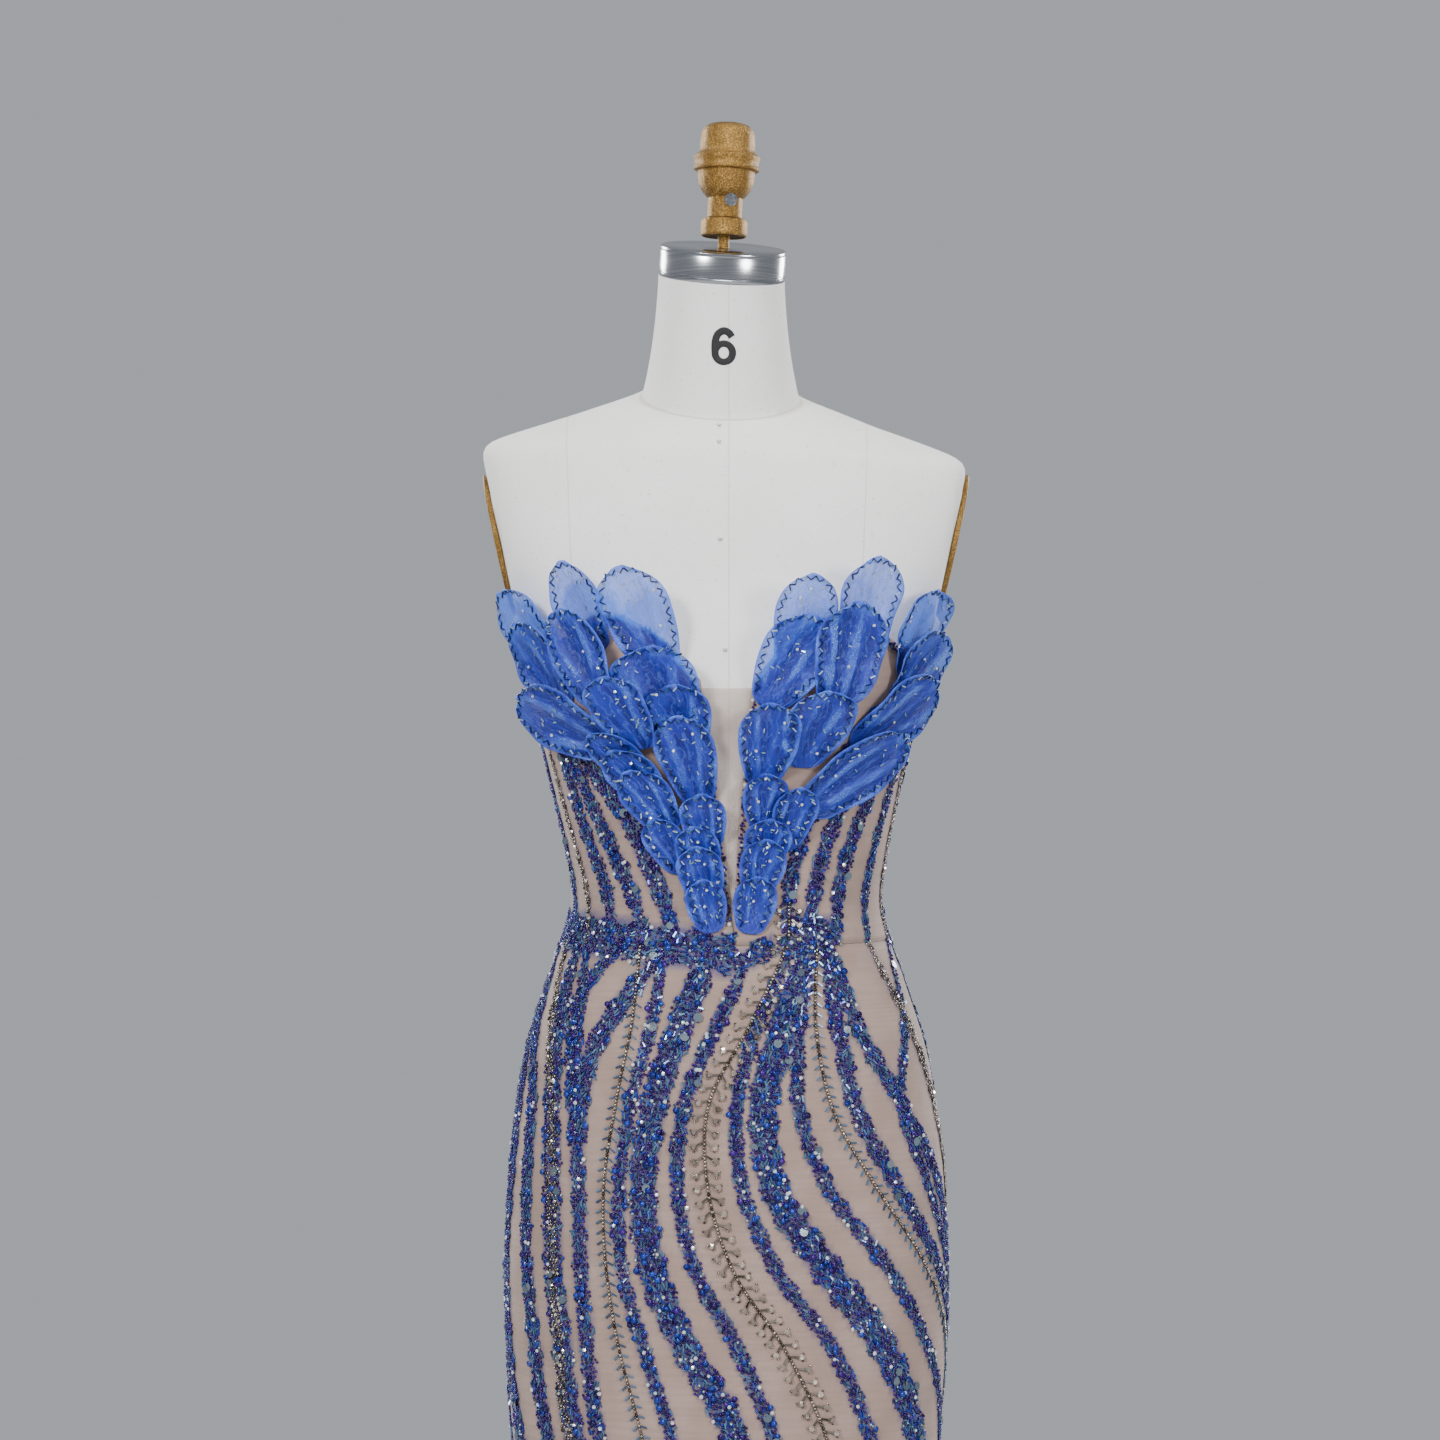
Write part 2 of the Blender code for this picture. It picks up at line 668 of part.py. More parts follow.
def petal_lift(along, across, length, tip_lift, cup, seat):
    """Lift of a petal's outer face: a steady slope, a curl at the tip and a cupped width."""
    slope = PETAL_SLOPE * along * length
    curl = tip_lift * along**PETAL_CURL
    hollow = cup * across**2 * (PETAL_ROOT_CUP + (1.0 - PETAL_ROOT_CUP) * along)
    return seat + slope + curl + hollow


def petal_sheet(row, index, seat):
    """Angle, height and radius of the points of a petal's outer face."""
    name, degrees, height, lean, length, width, tip_lift = row
    cup = PETAL_CUP * (1 if index % 3 else REVERSE_CUP)
    root = (math.radians(degrees), height)
    angle, level, along, across = petal_outline(root, lean, length, width)
    lift = petal_lift(along, across, length, tip_lift, cup, seat)
    radius = cloth_radius(angle, carrier_height(level)) + lift
    return angle, level, radius


def inner_sheet(sheet):
    """The other face of a petal's wall, along the sheet's normals."""
    angle, level, radius = sheet
    points = round_axis(radius, angle, level)
    normal = np.cross(np.gradient(points, axis=1), np.gradient(points, axis=0))
    normal /= np.linalg.norm(normal, axis=-1, keepdims=True)
    inner = points - PETAL_WALL * normal
    return np.arctan2(inner[..., 0], -inner[..., 1]), inner[..., 2], np.hypot(inner[..., 0], inner[..., 1])


def facet_radius(angle, height):
    """Radius of the panels' flat facets, which stand proud of the curve where it is hollow."""
    rows = np.array(SKIRT_ROWS[:-1] + BODICE_ROWS + CHEST_ROWS)
    first = np.clip(np.searchsorted(rows, height, side="right") - 1, 0, len(rows) - 2)
    share = (height - rows[first]) / (rows[first + 1] - rows[first])
    low = cloth_radius(angle, rows[first])
    high = cloth_radius(angle, rows[first + 1])
    return low + share * (high - low)


def covered_radius(sheet, angle, level):
    """Outer radius of a petal at other places, and where the petal covers them.

    Each place is compared with the petal's quads, taken as two triangles in angle and height.
    """
    a, h, r = sheet
    best = np.full(angle.shape, -np.inf)
    corners = [
        ((0, 0), (1, 0), (1, 1)),
        ((0, 0), (1, 1), (0, 1)),
    ]
    rows, columns = a.shape
    for i in range(rows - 1):
        for j in range(columns - 1):
            for trio in corners:
                (pa, ph, pr), (qa, qh, qr), (sa, sh, sr) = [
                    (a[i + di, j + dj], h[i + di, j + dj], r[i + di, j + dj]) for di, dj in trio]
                area = (qa - pa) * (sh - ph) - (sa - pa) * (qh - ph)
                v = ((angle - pa) * (sh - ph) - (sa - pa) * (level - ph)) / area
                w = ((qa - pa) * (level - ph) - (angle - pa) * (qh - ph)) / area
                inside = (v >= -COVER_MARGIN) & (w >= -COVER_MARGIN) & (v + w <= 1 + COVER_MARGIN)
                value = pr + v * (qr - pr) + w * (sr - pr)
                best = np.where(inside, np.maximum(best, value), best)
    return best


def between_points(values, parts=3):
    """A grid with more rows and columns, on straight lines between its own."""
    for axis in (0, 1):
        count = values.shape[axis]
        places = np.linspace(0, count - 1, (count - 1) * parts + 1)
        first = np.minimum(places.astype(int), count - 2)
        share = (places - first).reshape((-1, 1) if axis == 0 else (1, -1))
        low = np.take(values, first, axis=axis)
        high = np.take(values, first + 1, axis=axis)
        values = low + share * (high - low)
    return values


def seat_petals():
    """Lay the petals one after another, each just clear of the cloth and of those before it."""
    placed = []
    for index, row in enumerate(PETALS):
        inner = inner_sheet(petal_sheet(row, index, 0.0))
        angle, level, radius = [between_points(part) for part in inner]
        on_cloth = level < top_edge(angle) + LEAST_ROW
        under = np.where(on_cloth, facet_radius(angle, level), -np.inf)
        for sheet in placed:
            under = np.maximum(under, covered_radius(sheet, angle, level))
        seat = LAYER_GAP + float((under - radius).max())
        placed.append(petal_sheet(row, index, seat))
    return placed


def petals(group):
    for row, (angle, level, radius) in zip(PETALS, seat_petals()):
        points = round_axis(radius, angle, level)
        columns = [points[:, column] for column in range(points.shape[1])]
        grid_object("petal_" + row[0], columns, group, "blue_organza", PETAL_WALL)


def head_rotation():
    """Forward tilt and sideways roll of the neck's top, its cap and what stands on it."""
    return Matrix.Rotation(HEAD_ROLL, 3, "Y") @ Matrix.Rotation(HEAD_TILT, 3, "X")


def arm_plane(height):
    return ARM_PLANE_HALF_WIDTH + ARM_PLANE_SLOPE * (height - ARM_PLANE_HEIGHT)


def form_ring(height, angles):
    """Horizontal ring of the form: the gown's inner face moved in, and flat at the armholes."""
    ring = cloth_point(angles, height, -(WALL + FORM_CLEARANCE), FORM_CUP_SHARE)
    if height >= BODICE_ROWS[-1]:
        ring[:, 2] -= drop(ring[:, 0], height)
        limit = arm_plane(ring[:, 2])
        ring[:, 0] = np.clip(ring[:, 0], -limit, limit)
    return ring


def drop(across, height):
    """Lean of the shoulders, which grows over the chest."""
    return SHOULDER_DROP * across * smooth_step(height, BODICE_ROWS[-1], CHEST_ROWS[-1])


def neck_seam_ring(angles):
    half_width, half_depth, across, depth, height, dip = NECK_SEAM
    ring = np.stack([across + half_width * np.sin(angles), depth - half_depth * np.cos(angles),
                     height - dip * np.cos(angles)], -1)
    ring[:, 2] -= drop(ring[:, 0], height)
    return ring


def neck_top_ring(angles):
    half_width, half_depth, across, depth, height = NECK_TOP
    turn = np.array(head_rotation())
    flat = np.stack([half_width * np.sin(angles), -half_depth * np.cos(angles), 0 * angles], -1)
    return flat @ turn.T + np.array([across, depth, height])


def form_rings():
    angles = np.arange(round(2 * math.pi / COLUMN_STEP)) * COLUMN_STEP
    rows = [row for row in SKIRT_ROWS if row >= FORM_BOTTOM] + BODICE_ROWS[1:] + CHEST_ROWS
    rings = [form_ring(row, angles) for row in rows]
    chest = rings[-1]
    seam = neck_seam_ring(angles)
    crown = SHOULDER_CROWN * np.sin(angles) ** 2
    for index in range(1, SHOULDER_RINGS + 1):
        t = index / (SHOULDER_RINGS + 1)
        ring = (1 - t) * chest + t * seam
        ring[:, 2] += crown * np.sin(math.pi * t)
        rings.append(ring)
    rings.append(seam)
    top = neck_top_ring(angles)
    for index in range(1, NECK_RINGS + 1):
        t = index / NECK_RINGS
        hollow = NECK_HOLLOW * math.sin(math.pi * t) ** NECK_HOLLOW_SPREAD
        ring = (1 - t) * seam + t * top
        middle = ring.mean(axis=0)
        ring[:, :2] = middle[:2] + (ring[:, :2] - middle[:2]) * (1 - hollow)
        rings.append(ring)
    return rings


def dress_form(group):
    """Torso and neck in one closed loft, with a flat bottom and a flat top under the cap."""
    rings = form_rings()
    count = len(rings[0])
    points = [tuple(point) for ring in rings for point in ring]
    faces = [tuple(reversed(range(count)))]
    for row in range(len(rings) - 1):
        for column in range(count):
            following = (column + 1) % count
            faces.append((row * count + column, row * count + following,
                          (row + 1) * count + following, (row + 1) * count + column))
    faces.append(tuple(range((len(rings) - 1) * count, len(rings) * count)))
    mesh = bpy.data.meshes.new("form_torso")
    mesh.from_pydata(points, [], faces)
    return finish_object("form_torso", mesh, group, "white_canvas", 50)


def turned_object(name, profile, group, finish, steps=32):
    """Turn a profile, given from the top down its outer side, about Z."""
    mesh = bpy.data.meshes.new(name)
    edges = [(index, index + 1) for index in range(len(profile) - 1)]
    mesh.from_pydata([(radius, 0.0, height) for radius, height in profile], edges, [])
    item = finish_object(name, mesh, group, finish)
    turn = item.modifiers.new("turn", "SCREW")
    turn.axis = "Z"
    turn.steps = steps
    turn.render_steps = steps
    turn.use_merge_vertices = True
    turn.merge_threshold = 0.00005
    turn.use_smooth_shade = True
    return item


def disc_object(name, radii, thickness, bevel, group, finish, sides=32):
    """Round plate with rounded rims, its axis along its own Z and its foot at the origin."""
    body = bmesh.new()
    bmesh.ops.create_cone(body, cap_ends=True, segments=sides, radius1=1.0, radius2=1.0, depth=thickness)
    bmesh.ops.scale(body, vec=(radii[0], radii[1], 1.0), verts=body.verts)
    bmesh.ops.translate(body, vec=(0, 0, thickness / 2), verts=body.verts)
    mesh = bpy.data.meshes.new(name)
    body.to_mesh(mesh)
    body.free()
    item = finish_object(name, mesh, group, finish)
    rim = item.modifiers.new("rim", "BEVEL")
    rim.width = bevel
    rim.segments = 1
    rim.limit_method = "ANGLE"
    return item


def arm_plates(group):
    """Oval plates on the armholes, leaning out with the plane that they sit on."""
    lean = math.atan(ARM_PLANE_SLOPE)
    depth, height = ARM_PLATE_CENTRE
    for side, name in ((-1, "arm_plate_left"), (1, "arm_plate_right")):
        plate = disc_object(name, (ARM_PLATE_HALF_HEIGHT, ARM_PLATE_HALF_DEPTH), ARM_PLATE_THICKNESS,
                            ARM_PLATE_BEVEL, group, "sand_cast_brass")
        outward = Vector((side * math.cos(lean), 0.0, -math.sin(lean)))
        upward = Vector((side * math.sin(lean), 0.0, math.cos(lean)))
        turn = Matrix((upward, outward.cross(upward), outward)).transposed()
        seat = Vector((side * arm_plane(height), depth, height)) + outward * SEAM_GAP
        plate.matrix_world = Matrix.Translation(seat) @ turn.to_4x4()


def neck_cap(group):
    half_width, half_depth, across, depth, height = NECK_TOP
    cap = disc_object("neck_cap", (half_width, half_depth), CAP_HEIGHT, CAP_BEVEL, group,
                      "polished_steel", 40)
    turn = head_rotation()
    axis = turn @ Vector((0, 0, 1))
    seat = Vector((across, depth, height)) + axis * SEAM_GAP
    cap.matrix_world = Matrix.Translation(seat) @ turn.to_4x4()
    return cap


def knob_profile():
    """Dome, ring, bowl, stem and foot flange of the cast knob, with its rod below."""
    quarter = [0.5 * math.pi * index / 4 for index in range(5)]
    dome = [(DOME_RADIUS * math.sin(turn) ** DOME_FLATNESS,
             DOME_BOTTOM + (KNOB_TOP - DOME_BOTTOM) * math.cos(turn) ** DOME_FLATNESS) for turn in quarter]
    bowl = [(STEM_RADIUS + (BOWL_RADIUS - STEM_RADIUS) * math.cos(turn),
             BOWL_TOP - (BOWL_TOP - STEM_TOP) * math.sin(turn)) for turn in quarter]
    rod = [(ROD_RADIUS, KNOB_FLANGE[-1][1]), (ROD_RADIUS, rod_foot()), (0.0, rod_foot())]
    return dome + KNOB_RING + bowl + KNOB_FLANGE + rod


def cap_top():
    """Centre of the steel cap's upper face."""
    half_width, half_depth, across, depth, height = NECK_TOP
    axis = head_rotation() @ Vector((0, 0, 1))
    return Vector((across, depth, height)) + axis * (SEAM_GAP + CAP_HEIGHT)


def rod_foot():
    """The rod's square end stands on the tilted cap, so its low side sets the height."""
    return cap_top().z + SEAM_GAP + ROD_RADIUS * (math.tan(HEAD_TILT) + math.tan(HEAD_ROLL))


def knob(group):
    profile = [(radius, height - rod_foot()) for radius, height in knob_profile()]
    item = turned_object("knob", profile, group, "sand_cast_brass", 28)
    foot = cap_top()
    foot.z = rod_foot()
    item.matrix_world = Matrix.Translation(foot) @ Matrix.Rotation(KNOB_LEAN, 4, "Y")
    return item


def set_screw(group):
    """Small clamp screw on the front of the knob, where its bowl meets the stem."""
    item = disc_object("knob_screw", (SCREW_RADIUS, SCREW_RADIUS), SCREW_LENGTH, SCREW_BEVEL, group,
                       "polished_steel", 16)
    foot = cap_top()
    lean = math.tan(KNOB_LEAN) * (SCREW_HEIGHT - rod_foot())
    seat = Vector((foot.x + lean + SCREW_OFFSET, foot.y - SCREW_SEAT, SCREW_HEIGHT))
    item.matrix_world = Matrix.Translation(seat) @ Matrix.Rotation(math.pi / 2, 4, "X")
    return item


def stand(group):
    """Weighted round foot with a collar, and the pole up to the form's bottom."""
    turned_object("stand_base", BASE_PROFILE, group, "painted_steel", 40)
    low = BASE_PROFILE[0][1] + SEAM_GAP
    high = FORM_BOTTOM - SEAM_GAP
    pole = disc_object("stand_pole", (POLE_RADIUS, POLE_RADIUS), high - low, POLE_BEVEL, group,
                       "polished_steel", 16)
    pole.location = (0.0, 0.0, low)


def build_gown(group, helpers):
    bodice_front(-1, group)
    bodice_front(1, group)
    plunge_net(group)
    bodice_back(-1, group)
    bodice_back(1, group)
    skirt_front(group)
    skirt_back(-1, group)
    skirt_back(1, group)
    zip_strip(group)
    zip_slider(group, helpers)
    zip_tab(group)
    petals(group)


def build_form(group):
    dress_form(group)
    arm_plates(group)
    neck_cap(group)
    knob(group)
    set_screw(group)
    stand(group)


def main():
    clear_scene()
    group = make_collection("evening_dress_on_form")
    helpers = make_collection("helpers")
    build_gown(group, helpers)
    build_form(group)


main()
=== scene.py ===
"""Looks of the strapless mermaid gown on its dress form.

Metres, +Z up. The front faces -Y and the viewer's right is +X. A place on the gown is an angle
round from the centre front and a height, as in the part's own source, whose sizes are repeated
here. Cloth, petals, form and turned pieces are grids of points worked out as whole arrays.
"""
import math
from collections import defaultdict

import bpy
import numpy as np
from mathutils import Matrix, Vector


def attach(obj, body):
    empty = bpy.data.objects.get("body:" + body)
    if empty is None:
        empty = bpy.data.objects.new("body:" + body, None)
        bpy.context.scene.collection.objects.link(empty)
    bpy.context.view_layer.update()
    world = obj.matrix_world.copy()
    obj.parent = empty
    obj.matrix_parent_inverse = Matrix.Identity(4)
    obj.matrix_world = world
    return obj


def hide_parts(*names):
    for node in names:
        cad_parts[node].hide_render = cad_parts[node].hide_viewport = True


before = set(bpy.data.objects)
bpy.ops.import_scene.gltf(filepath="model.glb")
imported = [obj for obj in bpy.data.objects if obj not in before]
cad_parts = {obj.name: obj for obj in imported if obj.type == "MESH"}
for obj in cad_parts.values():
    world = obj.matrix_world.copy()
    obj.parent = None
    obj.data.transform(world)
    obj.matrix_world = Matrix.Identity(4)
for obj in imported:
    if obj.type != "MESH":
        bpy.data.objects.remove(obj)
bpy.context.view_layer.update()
BODY = "gown_and_form"

# Cloth, seams and heights, as in the part
WALL = 0.0014
SEAM_GAP = 0.0003
FORM_CLEARANCE = 0.0007
FORM_CUP_SHARE = 0.95
HEM = 0.012
WAIST_SEAM = 1.020
ZIP_BOTTOM = 0.894
PLUNGE_POINT = 1.032
NET_TOP = 1.214
FORM_BOTTOM = 0.715
BODICE_TOP = 1.272
CHEST_TOP = 1.396

BODY_SECTIONS = [
    # height, half_width, front, back, squareness
    (0.012, 0.300, 0.300, 0.300, 2.00),
    (0.060, 0.276, 0.272, 0.277, 2.00),
    (0.120, 0.246, 0.236, 0.245, 2.00),
    (0.200, 0.208, 0.192, 0.205, 2.00),
    (0.280, 0.180, 0.160, 0.172, 2.00),
    (0.360, 0.161, 0.138, 0.148, 2.05),
    (0.440, 0.154, 0.126, 0.135, 2.10),
    (0.520, 0.156, 0.120, 0.130, 2.10),
    (0.600, 0.163, 0.117, 0.130, 2.15),
    (0.660, 0.168, 0.115, 0.134, 2.20),
    (0.740, 0.172, 0.114, 0.138, 2.20),
    (0.800, 0.171, 0.114, 0.140, 2.20),
    (0.855, 0.168, 0.113, 0.139, 2.20),
    (0.894, 0.163, 0.112, 0.134, 2.20),
    (0.933, 0.156, 0.111, 0.125, 2.20),
    (0.972, 0.144, 0.107, 0.112, 2.20),
    (1.011, 0.130, 0.101, 0.100, 2.20),
    (1.045, 0.121, 0.097, 0.092, 2.20),
    (1.089, 0.125, 0.097, 0.091, 2.20),
    (1.128, 0.133, 0.100, 0.095, 2.20),
    (1.167, 0.142, 0.103, 0.101, 2.20),
    (1.206, 0.153, 0.105, 0.106, 2.20),
    (1.260, 0.167, 0.101, 0.109, 2.25),
    (1.310, 0.184, 0.094, 0.108, 2.30),
    (1.360, 0.196, 0.082, 0.098, 2.35),
    (1.400, 0.202, 0.070, 0.085, 2.40),
]
CUP_ANGLE = math.radians(37)
CUP_SPREAD = math.radians(17)
CUP_HEIGHT = 1.212
CUP_RISE = 0.024
CUP_FADE_UP = 0.045
CUP_FADE_DOWN = 0.034
FLUTES = 8
FLUTE_DEPTH = 0.013
FLUTE_START = 0.44
FLUTE_SWAY = 0.35
TOP_EDGE = [
    # degrees_from_front, height
    (0, 1.206),
    (12, 1.221),
    (21, 1.247),
    (30, 1.262),
    (38, 1.270),
    (60, 1.247),
    (90, 1.212),
    (120, 1.178),
    (150, 1.163),
    (180, 1.160),
]
PLUNGE_SHIFT = 0.0055
PLUNGE_HALF_WIDTH = 0.0255
PLUNGE_CURVE = 1.35
PLUNGE_POINT_HALF_WIDTH = 0.0005
# Share of its rise over which the plunge's centre line comes back to the middle
PLUNGE_LEAN_END = 0.8
ZIP_HALF_WIDTH = 0.0022

# Form above the chest, as in the part
ARM_PLANE_HALF_WIDTH = 0.1635
ARM_PLANE_HEIGHT = 1.280
ARM_PLANE_SLOPE = 0.217
# half_width, half_depth, centre across, centre in depth, height, dip of the front
NECK_SEAM = (0.0615, 0.056, -0.004, 0.002, 1.441, 0.0215)
# half_width, half_depth, centre across, centre in depth, height
NECK_TOP = (0.0490, 0.052, -0.0035, -0.016, 1.533)
HEAD_TILT = math.radians(12.7)
HEAD_ROLL = math.radians(3.5)
SHOULDER_DROP = 0.035
SHOULDER_CROWN = 0.002
NECK_HOLLOW = 0.045
ARM_PLATE_HALF_HEIGHT = 0.056
ARM_PLATE_HALF_DEPTH = 0.040
ARM_PLATE_THICKNESS = 0.0047
ARM_PLATE_CENTRE = (0.003, 1.327)
CAP_HEIGHT = 0.023
KNOB_LEAN = math.radians(2.4)
KNOB_TOP = 1.6520
DOME_BOTTOM = 1.6340
DOME_RADIUS = 0.0212
DOME_FLATNESS = 0.55
BOWL_RADIUS = 0.0220
BOWL_TOP = 1.6130
STEM_TOP = 1.5935
STEM_RADIUS = 0.0135
ROD_RADIUS = 0.0045
SCREW_HEIGHT = 1.5900
SCREW_RADIUS = 0.005
SCREW_LENGTH = 0.005
SCREW_OFFSET = 0.0045
SCREW_SEAT = 0.0167
SHANK_RADIUS = 0.0022
SHANK_DEPTH = 0.0015
# Seams of the form's canvas: one at the centre, and a pair to both sides of PAIR_MIDDLE, which
# are PAIR_HALF_WIDTH away from it at PAIR_LEVEL and spread upwards
CENTRE_SEAM = 0.002
PAIR_MIDDLE = -0.007
PAIR_HALF_WIDTH = 0.1105
PAIR_SPREAD = 0.045
PAIR_LEVEL = 1.30
BASE_RADIUS = 0.200
BASE_COLLAR_TOP = 0.055

# Petals, with the ones that lie underneath first in each fan
PETALS = [
    # name, degrees_from_front, root_height, lean_degrees, length, width, tip_lift
    ("left_01", -60, 1.222, -30, 0.077, 0.052, 0.015),
    ("left_03", -22, 1.226, -15, 0.082, 0.043, 0.008),
    ("left_02", -43, 1.239, -14, 0.073, 0.042, 0.009),
    ("left_04", -55, 1.194, -26, 0.078, 0.050, 0.011),
    ("left_06", -20, 1.171, -5, 0.075, 0.051, 0.006),
    ("left_05", -38, 1.200, -17, 0.077, 0.040, 0.008),
    ("left_07", -41, 1.170, -56, 0.066, 0.050, 0.010),
    ("left_09", -14, 1.166, -7, 0.051, 0.040, 0.005),
    ("left_08", -29, 1.168, -12, 0.056, 0.034, 0.006),
    ("left_10", -11, 1.126, -8, 0.068, 0.037, 0.006),
    ("left_11", -29, 1.143, -37, 0.045, 0.029, 0.006),
    ("left_12", -26, 1.121, -25, 0.051, 0.033, 0.006),
    ("left_13", -23, 1.106, -23, 0.050, 0.034, 0.006),
    ("left_14", -8, 1.092, -4, 0.043, 0.031, 0.005),
    ("left_15", -19, 1.075, -22, 0.044, 0.028, 0.005),
    ("left_16", -9, 1.068, -10, 0.043, 0.031, 0.005),
    ("left_17", -8, 1.050, -9, 0.046, 0.032, 0.005),
    ("left_18", -6, 1.030, -10, 0.041, 0.029, 0.004),
    ("right_01", 23, 1.229, 7, 0.071, 0.038, 0.008),
    ("right_03", 62, 1.220, 12, 0.071, 0.056, 0.014),
    ("right_02", 42, 1.236, 4, 0.077, 0.048, 0.009),
    ("right_04", 15, 1.199, 19, 0.074, 0.042, 0.007),
    ("right_06", 58, 1.196, 34, 0.072, 0.052, 0.012),
    ("right_05", 35, 1.200, 5, 0.079, 0.049, 0.008),
    ("right_07", 46, 1.166, 48, 0.078, 0.052, 0.010),
    ("right_09", 29, 1.154, 3, 0.058, 0.040, 0.006),
    ("right_08", 15, 1.140, -1, 0.063, 0.038, 0.005),
    ("right_10", 33, 1.121, 44, 0.079, 0.046, 0.008),
    ("right_11", 16, 1.106, -3, 0.044, 0.031, 0.005),
    ("right_12", 25, 1.092, 6, 0.048, 0.030, 0.006),
    ("right_13", 16, 1.076, 3, 0.040, 0.033, 0.005),
    ("right_14", 13, 1.056, 7, 0.045, 0.032, 0.005),
    ("right_15", 10, 1.029, 7, 0.044, 0.031, 0.004),
]
PETAL_SLOPE = 0.10
PETAL_CUP = 0.0014
REVERSE_CUP = -0.6
CARRIER_TOP = 1.232
CARRIER_SOFTNESS = 0.012
ORGANZA = 0.0004
LAYER_GAP = 0.0003


# Curves and the gown's surface

def wrapped(angle):
    """The same angle between minus pi and pi."""
    return np.remainder(angle + math.pi, 2 * math.pi) - math.pi


def smooth_step(value, low, high):
    """Rise from 0 at low to 1 at high: t^2 (3 - 2 t)."""
    t = np.clip((np.asarray(value, float) - low) / (high - low), 0.0, 1.0)
    return t * t * (3.0 - 2.0 * t)


def through(knots, values, place):
    """Smooth curve through values at knots: cubic pieces whose slopes are the table's own."""
    knots = np.asarray(knots, float)
    values = np.asarray(values, float)
    flat = values.ndim == 1
    if flat:
        values = values[:, None]
    slopes = np.gradient(values, knots, axis=0)
    place = np.asarray(place, float)
    first = np.clip(np.searchsorted(knots, place, side="right") - 1, 0, len(knots) - 2)
    span = (knots[first + 1] - knots[first])[..., None]
    t = np.clip((place - knots[first])[..., None] / span, 0.0, 1.0)
    start = (2 * t**3 - 3 * t**2 + 1) * values[first] + (t**3 - 2 * t**2 + t) * span * slopes[first]
    end = (3 * t**2 - 2 * t**3) * values[first + 1] + (t**3 - t**2) * span * slopes[first + 1]
    result = start + end
    return result[..., 0] if flat else np.moveaxis(result, -1, 0)


def cloth_radius(angle, height, cup_share=1.0):
    """Distance of the gown's outer face from the axis: a superellipse, two cups and the flutes."""
    angle, height = np.broadcast_arrays(np.asarray(angle, float), np.asarray(height, float))
    table = np.array(BODY_SECTIONS)
    half_width, front, back, squareness = through(table[:, 0], table[:, 1:], height)
    depth = np.where(np.cos(angle) > 0, front, back)
    across = (np.abs(np.sin(angle)) / half_width) ** squareness
    along = (np.abs(np.cos(angle)) / depth) ** squareness
    radius = (across + along) ** (-1.0 / squareness)
    fade = np.where(height > CUP_HEIGHT, CUP_FADE_UP, CUP_FADE_DOWN)
    level = np.exp(-0.5 * ((height - CUP_HEIGHT) / fade) ** 2)
    left = np.exp(-0.5 * ((angle + CUP_ANGLE) / CUP_SPREAD) ** 2)
    right = np.exp(-0.5 * ((angle - CUP_ANGLE) / CUP_SPREAD) ** 2)
    growth = smooth_step(FLUTE_START - height, 0.0, FLUTE_START - HEM)
    sway = 1.0 + FLUTE_SWAY * np.cos(4 * angle)
    flutes = FLUTE_DEPTH * growth * np.sin(FLUTES * angle) * sway
    return radius + cup_share * CUP_RISE * level * (left + right) + flutes


def round_axis(radius, angle, height):
    """Points (r sin a, -r cos a, h), so that angle 0 is the centre front."""
    return np.stack([radius * np.sin(angle), -radius * np.cos(angle), height + 0 * radius], -1)


def unit(vectors):
    return vectors / np.linalg.norm(vectors, axis=-1, keepdims=True)


def cloth_frame(angle, height, cup_share=1.0):
    """Point of the gown's outer face with its directions round, up and out."""
    angle, height = np.broadcast_arrays(np.asarray(angle, float), np.asarray(height, float))
    step = 1e-4

    def face(a, h):
        return round_axis(cloth_radius(a, h, cup_share), a, h)

    round_way = unit(face(angle + step, height) - face(angle - step, height))
    up_way = unit(face(angle, height + step) - face(angle, height - step))
    out_way = unit(np.cross(round_way, up_way))
    return face(angle, height), round_way, np.cross(out_way, round_way), out_way


def cloth_point(angle, height, lift=0.0, cup_share=1.0):
    """Point of the gown's outer face, moved out by the lift."""
    point, _, _, out_way = cloth_frame(angle, height, cup_share)
    return point + np.asarray(lift, float)[..., None] * out_way


def top_edge(angle):
    """Height of the gown's upper edge at an angle."""
    degrees, heights = np.array(TOP_EDGE, float).T
    return through(degrees, heights, np.abs(np.degrees(angle)))


def plunge_edge(height, side):
    """Angle of the plunge's edge: a V that opens upwards on a slightly leaning centre line."""
    height = np.asarray(height, float)
    rise = np.maximum((height - PLUNGE_POINT) / (BODICE_TOP - PLUNGE_POINT), 0.0)
    half = PLUNGE_POINT_HALF_WIDTH + PLUNGE_HALF_WIDTH * rise**PLUNGE_CURVE
    centre = PLUNGE_SHIFT * (1.0 - np.minimum(rise / PLUNGE_LEAN_END, 1.0))
    return np.arcsin((centre + side * half) / cloth_radius(0.0, height))


